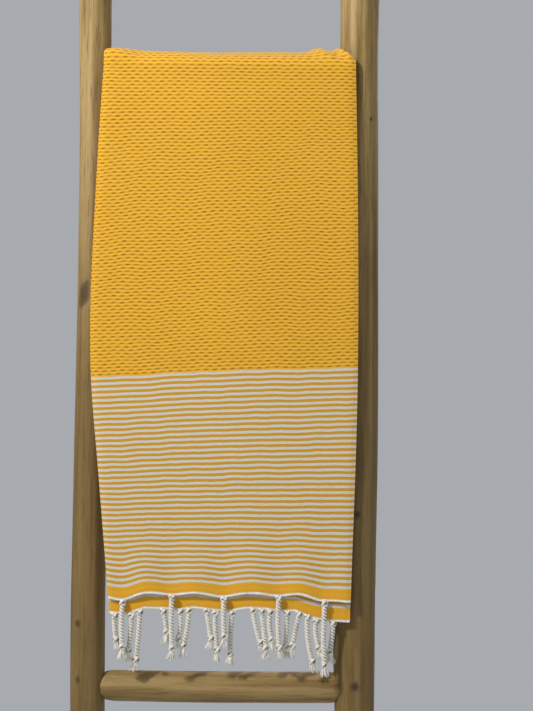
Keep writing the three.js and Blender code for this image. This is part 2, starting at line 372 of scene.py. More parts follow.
@dataclass(frozen=True)
class BareTeak:
    """Bark-stripped, sanded branch wood with long grain, pores, checks and dark knots, darker towards its
    foot: partly its own tone, partly painted shade.
    """

    name: str
    run: GrainRun
    lean: float
    pale: tuple = (0.420, 0.290, 0.112, 1.0)
    mid: tuple = (0.232, 0.145, 0.042, 1.0)
    dark: tuple = (0.085, 0.043, 0.012, 1.0)
    knot: tuple = (0.024, 0.012, 0.005, 1.0)
    # darker tone towards the foot: partly the wood's own, partly painted shade
    foot_tone_and_shade: tuple = (0.112, 0.064, 0.014, 1.0)
    foot_tone_and_shade_share: float = 0.68
    grain_stretch: float = 0.035
    pore_stretch: float = 0.06
    band_noise: NoiseGrade = NoiseGrade(95.0, 4.0, 0.55)
    pore_noise: NoiseGrade = NoiseGrade(420.0, 4.0, 0.65)
    patch_noise: NoiseGrade = NoiseGrade(7.0, 3.0, 0.55)
    weather_noise: NoiseGrade = NoiseGrade(28.0, 2.0, 0.5)
    band_limits: tuple = (0.36, 0.66)
    streaks: Stain = Stain(0.60, 0.74, 0.65)
    weathering: Stain = Stain(0.50, 0.72, 0.55)
    patching: Stain = Stain(0.52, 0.78, 0.35)
    pitting: Stain = Stain(0.50, 0.72, 0.62)
    # where the darker tone and painted shade towards the foot start and reach their full share
    foot_tone_and_shade_limits: tuple = (1.44, 0.85)
    foot_tone_and_shade_wander: float = 0.10
    knot_rings: float = 26.0
    ring_depth: float = 0.12
    ring_middle: float = 0.95

    def build(self) -> bpy.types.Material:
        """Wires the wood.

        Returns:
            The material.
        """
        board = NodeBoard(self.name)
        coordinates = board.object_coordinates()
        if self.run is GrainRun.UP_THE_RAIL:
            straight = board.mapped(coordinates, (1.0, 1.0, 1.0), (self.lean, 0.0, 0.0))
            long_grain = board.mapped(straight, (1.0, 1.0, self.grain_stretch))
            pores = board.mapped(straight, (1.0, 1.0, self.pore_stretch))
        else:
            straight = board.mapped(coordinates, (1.0, 1.0, 1.0))
            long_grain = board.mapped(straight, (self.grain_stretch, 1.0, 1.0))
            pores = board.mapped(straight, (self.pore_stretch, 1.0, 1.0))
        attribute = board.node("ShaderNodeAttribute", attribute_name=KNOT_ATTRIBUTE).outputs["Fac"]
        bands = board.noise(long_grain, self.band_noise)
        fine = board.noise(pores, self.pore_noise)
        patches = board.noise(coordinates, self.patch_noise)
        weathered = board.noise(long_grain, self.weather_noise)
        tone = board.mix(board.ramp(bands, *self.band_limits), self.pale, self.mid)
        tone = board.stain(tone, bands, self.streaks, self.dark)
        tone = board.stain(tone, weathered, self.weathering, self.mid)
        tone = board.stain(tone, patches, self.patching, self.dark)
        tone = board.stain(tone, fine, self.pitting, self.dark)
        # Darker towards the foot, below about 1.44 m: partly the wood's own darker tone, partly painted
        # shade for the towel's shadow and the light falling off lower down.
        height = board.node("ShaderNodeSeparateXYZ")
        board.feed(height.inputs[0], coordinates)
        wander = board.math("MULTIPLY", patches, self.foot_tone_and_shade_wander)
        wandering_height = board.math("ADD", height.outputs[2], wander)
        foot_tone_and_shade_mask = board.math("MULTIPLY", board.ramp(wandering_height, *self.foot_tone_and_shade_limits), self.foot_tone_and_shade_share)
        tone = board.mix(foot_tone_and_shade_mask, tone, self.foot_tone_and_shade)
        ringed = board.math("SINE", board.math("MULTIPLY", attribute, self.knot_rings))
        shade = board.math("ADD", board.math("MULTIPLY", ringed, self.ring_depth), self.ring_middle)
        ring = board.math("MULTIPLY", shade, attribute)
        tone = board.mix(board.math("MULTIPLY", ring, 1.0, clamp=True), tone, self.knot)
        board.feed(board.shader.inputs["Base Color"], tone)
        rough = board.ramp(bands, low=0.3, high=0.75, to=(0.55, 0.75))
        board.feed(board.shader.inputs["Roughness"], rough)
        board.shader.inputs["Specular IOR Level"].default_value = 0.35
        relief = board.math("ADD", board.math("MULTIPLY", bands, 0.6), board.math("MULTIPLY", fine, 0.4))
        board.bump(relief, distance=0.0014, strength=0.8)
        return board.material


@dataclass(frozen=True)
class SawnEnd:
    """A sawn end of a branch: growth rings round its heart, with fine radial checks."""

    name: str
    heart: tuple
    ring_pitch: float = 0.0042
    pale: tuple = (0.40, 0.27, 0.14, 1.0)
    dark: tuple = (0.19, 0.105, 0.045, 1.0)
    ring_noise: NoiseGrade = NoiseGrade(60.0)
    speck_noise: NoiseGrade = NoiseGrade(900.0, 2.0)
    ring_limits: tuple = (-0.4, 0.9)
    specks: Stain = Stain(0.5, 0.7, 0.5)

    def build(self) -> bpy.types.Material:
        """Wires the end grain.

        Returns:
            The material.
        """
        board = NodeBoard(self.name)
        mapping = board.node("ShaderNodeMapping")
        board.feed(mapping.inputs["Vector"], board.object_coordinates())
        mapping.inputs["Location"].default_value = tuple(-c for c in self.heart)
        parts = board.node("ShaderNodeSeparateXYZ")
        board.feed(parts.inputs[0], mapping.outputs[0])
        across = board.math("POWER", parts.outputs[0], 2.0)
        deep = board.math("POWER", parts.outputs[1], 2.0)
        radius = board.math("SQRT", board.math("ADD", across, deep))
        wander = board.noise(mapping.outputs[0], self.ring_noise)
        turns = board.math("ADD", board.math("DIVIDE", radius, self.ring_pitch), wander)
        rings = board.math("SINE", board.math("MULTIPLY", turns, math.tau))
        tone = board.mix(board.ramp(rings, *self.ring_limits), self.pale, self.dark)
        specks = board.noise(mapping.outputs[0], self.speck_noise)
        tone = board.stain(tone, specks, self.specks, self.dark)
        board.feed(board.shader.inputs["Base Color"], tone)
        board.shader.inputs["Roughness"].default_value = 0.8
        board.bump(specks, distance=0.0006, strength=0.6)
        return board.material


@dataclass(frozen=True)
class HammamCloth:
    """Flat-woven cotton: yellow honeycomb, with a painted highlight on its ridges and painted shade in its
    furrows and pits, then white and yellow weft stripes down to the hem.

    The cloth's UV map is in metres: u across the width as it was cut, v up from the hem.
    """

    name: str = "hammam_cloth"
    cell_width: float = 0.011
    row_pitch: float = 0.0042
    band_top: float = 0.0128
    stripe_pitch: float = 0.0068
    stripe_count: int = 38
    hem_line: float = 0.0008
    yellow: tuple = (0.700, 0.355, 0.024, 1.0)
    # painted highlight on the honeycomb's ridges; also the lighter tone that slow patches fade to
    ridge_highlight_and_fade: tuple = (0.790, 0.432, 0.037, 1.0)
    # painted shade in the honeycomb's pits
    dimple: tuple = (0.340, 0.142, 0.009, 1.0)
    # painted shade in the furrows along the honeycomb's rows
    between: tuple = (0.520, 0.248, 0.013, 1.0)
    white: tuple = (0.600, 0.572, 0.520, 1.0)
    stripe_yellow: tuple = (0.550, 0.290, 0.018, 1.0)
    wander_noise: NoiseGrade = NoiseGrade(45.0)
    weft_noise: NoiseGrade = NoiseGrade(1500.0, 2.0, 0.6)
    warp_noise: NoiseGrade = NoiseGrade(1300.0, 2.0, 0.6)
    fade_noise: NoiseGrade = NoiseGrade(9.0)
    uneven_noise: NoiseGrade = NoiseGrade(120.0)
    fading: Stain = Stain(0.35, 0.75, 0.30)
    threads: Stain = Stain(0.45, 0.75, 0.35)
    # how dark the painted shade in the furrows gets
    furrow_shade_share: float = 0.65
    wander_reach: float = 0.0022
    zone_edge: float = 0.0004
    band_edge: float = 0.0003
    white_middle: float = 0.26
    white_limits: tuple = (0.285, 0.205)

    @property
    def stripes_top(self) -> float:
        """Where the stripes end and the honeycomb starts, above the hem."""
        return self.band_top + self.stripe_pitch * (self.stripe_count + 0.5)

    def build(self) -> bpy.types.Material:
        """Wires the cloth.

        Returns:
            The material.
        """
        board = NodeBoard(self.name)
        uv = board.node("ShaderNodeUVMap", uv_map=UV_NAME).outputs[0]
        wander = board.noise(board.mapped(uv, (1.0, 0.4, 1.0)), self.wander_noise)
        parts = board.node("ShaderNodeSeparateXYZ")
        board.feed(parts.inputs[0], uv)
        shift = board.math("MULTIPLY", board.math("SUBTRACT", wander, 0.5), self.wander_reach)
        u = parts.outputs[0]
        v = board.math("ADD", parts.outputs[1], shift)
        weft = board.noise(board.mapped(uv, (0.05, 1.0, 1.0)), self.weft_noise)
        warp = board.noise(board.mapped(uv, (1.0, 0.12, 1.0)), self.warp_noise)
        furrows, pits = self.honeycomb(board, u, v)
        honeycomb_zone = board.ramp(v, self.stripes_top - self.zone_edge, self.stripes_top + self.zone_edge)
        # Painted light: a painted highlight on the ridges between rows and painted shade in the furrows
        # along them, then slow patches faded lighter.
        tone = board.mix(board.math("MULTIPLY", furrows, self.furrow_shade_share), self.ridge_highlight_and_fade, self.between)
        tone = board.stain(tone, board.noise(uv, self.fade_noise), self.fading, self.ridge_highlight_and_fade)
        # Painted shade in the honeycomb's pits, stronger in some patches than in others.
        blotches = board.noise(board.mapped(uv, (1.0, 2.4, 1.0)), self.uneven_noise)
        uneven = board.ramp(blotches, low=0.32, high=0.66, to=(0.30, 1.0))
        tone = board.mix(board.math("MULTIPLY", pits, uneven), tone, self.dimple)
        white_weft = self.white_weft(board, v)
        striped = board.mix(white_weft, self.stripe_yellow, self.white)
        plain_zone = board.ramp(v, self.band_top - self.band_edge, self.band_top + self.band_edge)
        striped = board.mix(plain_zone, self.yellow, striped)
        hem_zone = board.ramp(v, self.hem_line + self.zone_edge, self.hem_line - self.zone_edge)
        striped = board.mix(hem_zone, striped, self.white)
        striped = board.stain(striped, weft, self.threads, self.stripe_yellow)
        tone = board.mix(honeycomb_zone, striped, tone)
        board.feed(board.shader.inputs["Base Color"], tone)
        board.shader.inputs["Roughness"].default_value = 0.92
        board.shader.inputs["Specular IOR Level"].default_value = 0.15
        board.shader.inputs["Sheen Weight"].default_value = 0.18
        board.shader.inputs["Sheen Roughness"].default_value = 0.5
        self.relief(board, pits, white_weft, honeycomb_zone, weft, warp)
        return board.material

    def honeycomb(self, board: NodeBoard, u: Socket, v: Socket) -> tuple[Socket, Socket]:
        """The honeycomb's cells, in staggered rows.

        Args:
            board: The material in the making.
            u: Metres across the cloth.
            v: Metres up the cloth.

        Returns:
            The furrows between the rows of cells and the pits' own mask, which place the painted highlight
            and shade; the pits also shape the bump.
        """
        across = board.math("COSINE", board.math("MULTIPLY", u, math.tau / self.cell_width))
        rows = board.math("COSINE", board.math("MULTIPLY", v, math.pi / self.row_pitch))
        thin = board.ramp(board.math("ABSOLUTE", rows), low=0.62, high=1.0)
        staggered = board.math("MULTIPLY", across, board.math("SIGN", rows))
        wide = board.ramp(staggered, low=-0.60, high=0.75)
        furrows = board.ramp(board.math("ABSOLUTE", rows), low=0.45, high=1.0)
        return furrows, board.math("MULTIPLY", thin, wide)

    def white_weft(self, board: NodeBoard, v: Socket) -> Socket:
        """The white stripes' mask, one to a pitch.

        Args:
            board: The material in the making.
            v: Metres up the cloth.

        Returns:
            The mask: 1 on a white stripe, 0 between two.
        """
        phase = board.math("DIVIDE", board.math("SUBTRACT", v, self.band_top), self.stripe_pitch)
        part = board.math("FRACT", phase)
        off_middle = board.math("ABSOLUTE", board.math("SUBTRACT", part, self.white_middle))
        return board.ramp(off_middle, *self.white_limits)

    def relief(
        self,
        board: NodeBoard,
        pits: Socket,
        white_weft: Socket,
        honeycomb_zone: Socket,
        weft: Socket,
        warp: Socket,
    ) -> None:
        """Wires the bump: pits, slightly raised stripes, and the threads.

        Args:
            board: The material in the making.
            pits: The honeycomb pits' mask.
            white_weft: The white stripes' mask.
            honeycomb_zone: Where the honeycomb takes over from the stripes.
            weft: The threads across the cloth.
            warp: The threads up the cloth.
        """
        woven = board.math("ADD", board.math("MULTIPLY", weft, 0.5), board.math("MULTIPLY", warp, 0.5))
        ridges = board.math("SUBTRACT", 1.0, pits)
        stripes = board.math("SUBTRACT", 1.0, board.math("MULTIPLY", white_weft, 0.25))
        tall = board.mix(honeycomb_zone, stripes, ridges)
        height = board.math("ADD", board.math("MULTIPLY", tall, 0.7), board.math("MULTIPLY", woven, 0.4))
        board.bump(height, distance=0.0010, strength=0.85)


@dataclass(frozen=True)
class TwistedCotton:
    """Undyed cotton yarn, fine fibres lying along the twist, with painted shade in the grooves between its
    strands.
    """

    name: str = "twisted_cotton"
    pale: tuple = (0.86, 0.825, 0.74, 1.0)
    shaded: tuple = (0.60, 0.54, 0.44, 1.0)
    # painted shade in the grooves between strands and inside the knots
    deep: tuple = (0.13, 0.103, 0.066, 1.0)
    fibre_noise: NoiseGrade = NoiseGrade(2600.0, 3.0, 0.65)
    slub_noise: NoiseGrade = NoiseGrade(240.0, 2.0)
    slub_limits: tuple = (0.50, 0.85)
    fibres: Stain = Stain(0.55, 0.8, 0.3)

    def build(self) -> bpy.types.Material:
        """Wires the yarn.

        Returns:
            The material.
        """
        board = NodeBoard(self.name)
        coordinates = board.object_coordinates()
        groove_shade = board.node("ShaderNodeAttribute", attribute_name=GROOVE_SHADE_ATTRIBUTE).outputs["Fac"]
        fibres = board.noise(coordinates, self.fibre_noise)
        slubs = board.noise(coordinates, self.slub_noise)
        tone = board.mix(board.ramp(slubs, *self.slub_limits), self.pale, self.shaded)
        tone = board.stain(tone, fibres, self.fibres, self.shaded)
        # Painted shade between the strands, darkest towards the cord's heart.
        tone = board.mix(groove_shade, tone, self.deep)
        board.feed(board.shader.inputs["Base Color"], tone)
        board.shader.inputs["Roughness"].default_value = 0.9
        board.shader.inputs["Specular IOR Level"].default_value = 0.15
        board.shader.inputs["Sheen Weight"].default_value = 0.3
        board.shader.inputs["Sheen Roughness"].default_value = 0.5
        board.bump(fibres, distance=0.0005, strength=0.8)
        return board.material


@dataclass(frozen=True)
class PalePlaster:
    """A plain pale studio floor."""

    name: str = "pale_floor"
    tone: tuple = (0.62, 0.64, 0.67, 1.0)

    def build(self) -> bpy.types.Material:
        """Wires the floor.

        Returns:
            The material.
        """
        board = NodeBoard(self.name)
        board.shader.inputs["Base Color"].default_value = self.tone
        board.shader.inputs["Roughness"].default_value = 0.85
        return board.material


# ---------------------------------------------------------------- the ladder's own frame


@dataclass
class LadderFrame:
    """Axes and places on the leaning ladder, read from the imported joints."""

    hinge_forward: float = 0.031
    hinge_drop: float = 0.012
    up: Vector = field(init=False)
    forward: Vector = field(init=False)
    top_rung: Vector = field(init=False)
    joints: dict = field(init=False)

    def __post_init__(self) -> None:
        """Reads the lean and the top rung's middle."""
        self.joints = {joint["name"]: joint for joint in frame["joints"]}
        self.up = Vector(self.joints["towel_lift"]["axis"]).normalized()
        self.forward = Vector((0.0, -self.up.z, self.up.y))
        hinge = self.hinge("front_drop_swing")
        self.top_rung = hinge - self.forward * self.hinge_forward + self.up * self.hinge_drop

    @property
    def lean(self) -> float:
        """The lean back from plumb, in radians."""
        return math.atan2(self.up.y, self.up.z)

    def hinge(self, joint: str) -> Vector:
        """A hinge's place at rest."""
        return Vector(self.joints[joint]["pos_m"])

    def tassel_knots(self) -> dict[str, Vector]:
        """Reads the tassels' hinges.

        Returns:
            The place of each tassel's first knot, by the tassel's name.
        """
        tail = "_swing"
        return {
            name[: -len(tail)]: self.hinge(name)
            for name in sorted(self.joints)
            if name.startswith("tassel_") and name.endswith(tail)
        }


# ---------------------------------------------------------------- wood


@dataclass(frozen=True)
class BranchKnot:
    """Where a side branch was cut off: a swelling, or a sunken dark scar."""

    along: float
    angle: float
    height: float
    width: float
    tall: float
    darkness: float
    slant: float = 0.0
    crisp: bool = False


@dataclass
class BranchWood:
    """Turns a plain CAD bar into the branch it stands for: same size and place, with a grown surface."""

    voxel: float = 0.0020
    ridge: float = 0.00045
    swell: float = 0.0011
    regain: float = 0.0007
    smoothing: int = 12
    merge: float = 0.00002
    end_share: float = 0.02
    end_facing: float = 0.6
    knot_edge: float = 1.6
    ridge_scale: tuple = (260.0, 7.0)
    swell_scale: tuple = (22.0, 6.0)

    def grow(self, node: str, axis: Vector, knots: list[BranchKnot]) -> bpy.types.Object:
        """Makes the branch.

        Args:
            node: The CAD node that it replaces.
            axis: The way the branch runs.
            knots: Its knots, placed along and round it.

        Returns:
            The finished piece, its place in its mesh.
        """
        obj = self.copy_of(node)
        remesh = obj.modifiers.new("even_mesh", "REMESH")
        remesh.mode = "VOXEL"
        remesh.voxel_size = self.voxel
        relax = obj.modifiers.new("relax", "SMOOTH")
        relax.iterations = self.smoothing
        apply_modifiers(obj)
        self.shape(obj, axis, knots)
        activate(obj)
        bpy.ops.object.shade_smooth()
        return obj

    def copy_of(self, node: str) -> bpy.types.Object:
        """Copies a CAD node's mesh and joins its loose faces.

        Args:
            node: The CAD node.

        Returns:
            The copy, as a new object.
        """
        mesh = frame["nodes"][node].data.copy()
        mesh.materials.clear()
        obj = bpy.data.objects.new(f"{node}_branch", mesh)
        bpy.context.scene.collection.objects.link(obj)
        activate(obj)
        bpy.ops.object.mode_set(mode="EDIT")
        bpy.ops.mesh.select_all(action="SELECT")
        bpy.ops.mesh.remove_doubles(threshold=self.merge)
        bpy.ops.object.mode_set(mode="OBJECT")
        return obj

    def shape(self, obj: bpy.types.Object, axis: Vector, knots: list[BranchKnot]) -> None:
        """Moves the skin in and out: long ridges, slow swelling and knots.

        Args:
            obj: The evenly meshed branch.
            axis: The way it runs.
            knots: Its knots.
        """
        mesh = obj.data
        points = np.zeros(len(mesh.vertices) * 3)
        mesh.vertices.foreach_get("co", points)
        points = points.reshape(-1, 3)
        normals = np.array([n.vector[:] for n in mesh.vertex_normals])
        run = np.array(axis)
        low, high = self.ends(points, run)
        side = np.array((1.0, 0.0, 0.0)) if abs(axis.x) < 0.5 else np.array((0.0, 0.0, 1.0))
        front = np.cross(run, side)
        front *= -np.sign(front[1])
        along = (points - low) @ run
        out = points - low - np.outer(along / float((high - low) @ run), high - low)
        out -= np.outer(out @ run, run)
        angle = np.degrees(np.arctan2(out @ side, out @ front))
        around = np.linalg.norm(out, axis=1)
        push = self.regain + self.skin_noise(out, along, run, low)
        dark = np.zeros(len(points))
        for knot in knots:
            turn = np.radians((angle - knot.angle + 180.0) % 360.0 - 180.0) * around / knot.width
            rise = (along - knot.along) / knot.tall - knot.slant * turn
            near = turn**2 + rise**2
            if knot.crisp:
                near = turn**4 + rise**4
            push += knot.height * np.exp(-near)
            dark = np.maximum(dark, knot.darkness * np.exp(-((self.knot_edge * near) ** 2)))
        push *= np.abs(normals @ run) < self.end_facing
        points += normals * push[:, None]
        mesh.vertices.foreach_set("co", points.ravel())
        attribute = mesh.attributes.new(KNOT_ATTRIBUTE, "FLOAT", "POINT")
        attribute.data.foreach_set("value", dark.astype(np.float32))
        mesh.update()

    def skin_noise(self, out: np.ndarray, along: np.ndarray, run: np.ndarray, low: np.ndarray) -> np.ndarray:
        """The branch's own unevenness: fine ridges along its grain on slow swellings.

        Args:
            out: Each point's offset from the branch's middle line.
            along: Its distance along that line.
            run: The way the branch runs.
            low: The branch's lower end, which makes each branch unlike the others.

        Returns:
            How far each point moves outwards.
        """
        seed = np.array((3.1, low[0] * 40.0, low[2] * 17.0))
        squeezed = out * self.ridge_scale[0] + np.outer(along * self.ridge_scale[1], run) + seed
        slow = out * self.swell_scale[0] + np.outer(along * self.swell_scale[1], run) + seed
        ridges = np.array([noise.noise(Vector(p)) for p in squeezed])
        swells = np.array([noise.noise(Vector(p)) for p in slow])
        return self.ridge * ridges + self.swell * swells

    def ends(self, points: np.ndarray, run: np.ndarray) -> tuple[np.ndarray, np.ndarray]:
        """The middles of a bar's two ends.

        Args:
            points: The bar's vertices.
            run: The way it runs.

        Returns:
            The lower and the upper end's middle.
        """
        along = points @ run
        slab = self.end_share * (along.max() - along.min())
        low = points[along < along.min() + slab].mean(axis=0)
        high = points[along > along.max() - slab].mean(axis=0)
        return low, high


@dataclass
class Ladder:
    """Two branch rails, five rungs and the pegs that hold them."""

    place: LadderFrame
    rungs: int = 5
    left_knots: tuple = (
        BranchKnot(1.003, -30.0, -0.0016, 0.0105, 0.0170, 0.74, slant=0.35, crisp=True),
        BranchKnot(0.590, -30.0, 0.0012, 0.0045, 0.0060, 0.75),
        BranchKnot(0.520, -28.0, 0.0010, 0.0040, 0.0060, 0.7),
        BranchKnot(0.330, 35.0, 0.0030, 0.0110, 0.0200, 0.8),
        BranchKnot(1.390, 40.0, 0.0022, 0.0100, 0.0180, 0.6),
        BranchKnot(0.880, 150.0, 0.0035, 0.0120, 0.0240, 0.85),
    )
    right_knots: tuple = (
        BranchKnot(0.560, -72.0, 0.0042, 0.0150, 0.0500, 0.35),
        BranchKnot(0.730, -2.0, 0.0010, 0.0045, 0.0060, 0.8),
        BranchKnot(0.516, -8.0, 0.0014, 0.0060, 0.0080, 0.85),
        BranchKnot(1.228, 35.0, 0.0006, 0.0030, 0.0040, 0.9),
        BranchKnot(0.240, -20.0, 0.0035, 0.0120, 0.0220, 0.8),
        BranchKnot(1.100, 165.0, 0.0030, 0.0110, 0.0220, 0.8),
    )
    knots_per_rung: int = 2
    end_facing: float = 0.8
    top_reach: float = 0.02
    foot_reach: float = 0.006
    peg_ring_pitch: float = 0.0011
    peg_pale: tuple = (0.24, 0.14, 0.06, 1.0)
    peg_dark: tuple = (0.10, 0.05, 0.02, 1.0)

    def build(self) -> list[bpy.types.Object]:
        """Makes and dresses all of the ladder.

        Returns:
            The new pieces.
        """
        made = self.build_rails() + self.build_rungs()
        self.dress_pegs()
        for piece in made:
            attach(piece, "ladder")
        return made

    def build_rails(self) -> list[bpy.types.Object]:
        """Makes both rails, with sawn ends.

        Returns:
            The left rail and the right one.
        """
        teak = BareTeak("teak_rail", GrainRun.UP_THE_RAIL, self.place.lean).build()
        grower = BranchWood()
        rails = []
        for node, knots in (("left_rail", self.left_knots), ("right_rail", self.right_knots)):
            rail = grower.grow(node, self.place.up, list(knots))
            rail.data.materials.append(teak)
            self.saw_ends(rail, node)
            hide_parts(node)
            rails.append(rail)
            LOG.info("%s: %d faces", rail.name, len(rail.data.polygons))
        return rails

    def saw_ends(self, rail: bpy.types.Object, node: str) -> None:
        """Gives a rail's two end faces their end grain.

        Args:
            rail: The finished rail.
            node: Its CAD node, which says where its ends are.
        """
        low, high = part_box(node)
        for slot, (is_end, near) in enumerate(((self.is_top, high), (self.is_foot, low)), start=1):
            faces = [p for p in rail.data.polygons if is_end(p, near)]
            heart = sum((p.center for p in faces), Vector()) / max(1, len(faces))
            rail.data.materials.append(SawnEnd(f"{node}_end_{slot}", tuple(heart)).build())
            for polygon in faces:
                polygon.material_index = slot

    def is_top(self, polygon: bpy.types.MeshPolygon, high: Vector) -> bool:
        """Whether a face is part of a rail's sawn top."""
        faces_up = polygon.normal.dot(self.place.up) > self.end_facing
        return faces_up and polygon.center.z > high[2] - self.top_reach

    def is_foot(self, polygon: bpy.types.MeshPolygon, low: Vector) -> bool:
        """Whether a face is part of a rail's sawn foot."""
        return polygon.normal.z < -self.end_facing and polygon.center.z < low[2] + self.foot_reach

    def build_rungs(self) -> list[bpy.types.Object]:
        """Makes all the rungs.

        Returns:
            The rungs, from the lowest up.
        """
        # The rungs get less of the darkening towards the foot, which is partly painted shade.
        teak = BareTeak("teak_rung", GrainRun.ALONG_THE_RUNG, self.place.lean, foot_tone_and_shade_share=0.30).build()
        grower = BranchWood(voxel=0.0023, ridge=0.0006, swell=0.0010, smoothing=6)
        made = []
        for number in range(1, self.rungs + 1):
            node = f"rung_{number}"
            quiet = number == self.rungs
            knots = [] if quiet else [self.rung_knot(number, place) for place in range(self.knots_per_rung)]
            rung = grower.grow(node, Vector((1.0, 0.0, 0.0)), knots)
            rung.data.materials.append(teak)
            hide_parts(node)
            made.append(rung)
        LOG.info("rungs: %d", len(made))
        return made

    def rung_knot(self, number: int, place: int) -> BranchKnot:
        """A small knot on a rung, somewhere else on each rung.

        Args:
            number: The rung's number.
            place: The knot's number on its rung.

        Returns:
            The knot.
        """
        draw = random.Random(10 * number + place)
        return BranchKnot(
            along=draw.uniform(0.06, 0.28),
            angle=draw.uniform(-180.0, 180.0),
            height=draw.uniform(0.0004, 0.0016),
            width=draw.uniform(0.003, 0.006),
            tall=draw.uniform(0.005, 0.009),
            darkness=draw.uniform(0.4, 0.8),
        )

    def dress_pegs(self) -> None:
        """Gives the pegs, which keep their CAD shape, their end grain."""
        for side in ("left", "right"):
            for number in range(1, self.rungs + 1):
                node = f"peg_{side}_{number}"
                low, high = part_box(node)
                heart = tuple((a + b) / 2 for a, b in zip(low, high))
                finish = SawnEnd(f"{node}_grain", heart, self.peg_ring_pitch, self.peg_pale, self.peg_dark)
                mesh = frame["nodes"][node].data
                mesh.materials.clear()
                mesh.materials.append(finish.build())


# ---------------------------------------------------------------- towel


@dataclass(frozen=True)
class ThirdsFold:
    """The cloth folded in thirds across its width: three layers and the two folds that join them.

    The first layer lies outermost. Its left edge is a selvedge, and the cloth turns at the right.
    """

    layer_width: float = 0.330
    column: float = 0.00275
    coarse_columns: int = 14
    fold_columns: int = 4
    fold_cloth: float = 0.0040
    bulge: float = 0.0014
    tuck: float = 0.012

    def columns(self) -> dict[str, np.ndarray]:
        """The cloth's columns, from the first layer's left edge to the last layer's right edge.

        Returns:
            For each column: u in metres, its place across from 0 at the left to 1 at the right, the
            extra distance sideways in a fold, and its depth in layers.
        """
        fine = int(round(self.layer_width / self.column))
        u, across, extra, depth = [], [], [], []
        start = 0.0
        for layer, count in enumerate((fine, self.coarse_columns, self.coarse_columns)):
            last = 1.0 - (self.tuck if layer == 2 else 0.0)
            for step in range(count + 1):
                part = step / count
                u.append(start + part * self.layer_width)
                across.append(part * last if layer != 1 else 1.0 - part)
                extra.append(0.0)
                depth.append(float(layer))
            start += self.layer_width
            if layer < 2:
                for step in range(1, self.fold_columns + 1):
                    turn = step / (self.fold_columns + 1)
                    u.append(start + turn * self.fold_cloth)
                    across.append(1.0 if layer == 0 else 0.0)
                    swing = self.bulge * math.sin(math.pi * turn)
                    extra.append(swing if layer == 0 else -swing)
                    depth.append(layer + 0.5 - 0.5 * math.cos(math.pi * turn))
                start += self.fold_cloth
        return {
            "u": np.array(u),
            "across": np.array(across),
            "extra": np.array(extra),
            "depth": np.array(depth),
        }

    @property
    def cut_width(self) -> float:
        """The cloth's whole width, laid flat."""
        return 3 * self.layer_width + 2 * self.fold_cloth


@dataclass(frozen=True)
class StackOfLayers:
    """Where each layer lies in the whole folded stack, measured from the stack's middle."""

    pitch: float = 0.00128
    half_gap: float = 0.00069
    thickness: float = 0.0009
    dimple: float = 0.00028
    fold_taper: float = 0.52
    taper_reach: float = 0.042
    inner_face: float = 0.0040

    def offset(self, depth: np.ndarray, across: np.ndarray, outer: bool) -> np.ndarray:
        """The distance of each column from the stack's middle, outwards: less where it rounds a fold.

        Args:
            depth: Each column's depth in layers.
            across: Each column's place across, from 0 to 1.
            outer: Whether this is the outer half of the towel.

        Returns:
            Positive for the outer half, negative for the inner one.
        """
        away = self.half_gap + self.pitch * (2.0 - depth)
        edge = 0.5 - np.abs(across - 0.5)
        inward = 1.0 - np.clip(edge / self.taper_reach, 0.0, 1.0)
        away = away * (1.0 - self.fold_taper * (1.0 - np.sqrt(1.0 - inward**2)))
        return away if outer else -away


@dataclass
class ClothGrid:
    """Turns a grid of places into a finished sheet of cloth."""

    stack: StackOfLayers
    material: bpy.types.Material

    def build(self, name: str, places: np.ndarray, u: np.ndarray, v: np.ndarray) -> bpy.types.Object:
        """Makes the sheet.

        Args:
            name: The piece's name.
            places: Rows by columns by three, in metres.
            u: Each column's distance across the cloth.
            v: Each row's distance up the cloth.

        Returns:
            The sheet, with its thickness and its UV map in metres.
        """
        rows, columns = places.shape[:2]
        faces = [
            (r * columns + c, r * columns + c + 1, (r + 1) * columns + c + 1, (r + 1) * columns + c)
            for r in range(rows - 1)
            for c in range(columns - 1)
        ]
        obj = new_mesh_object(name, places.reshape(-1, 3).tolist(), faces)
        layer = obj.data.uv_layers.new(name=UV_NAME)
        corners = np.zeros(len(obj.data.loops), dtype=np.int32)
        obj.data.loops.foreach_get("vertex_index", corners)
        coordinates = np.stack([u[corners % columns], v[corners // columns]], axis=1)
        layer.data.foreach_set("uv", coordinates.astype(np.float32).ravel())
        solid = obj.modifiers.new("thickness", "SOLIDIFY")
        solid.thickness = self.stack.thickness
        solid.offset = 0.0
        apply_modifiers(obj)
        obj.data.materials.append(self.material)
        bpy.ops.object.shade_smooth_by_angle(angle=math.radians(60))
        return obj


@dataclass(frozen=True)
class HemKnot:
    """A place where a cluster of fringe is tied to the hem, and how far it pulls the hem down."""

    x: float
    sag: float


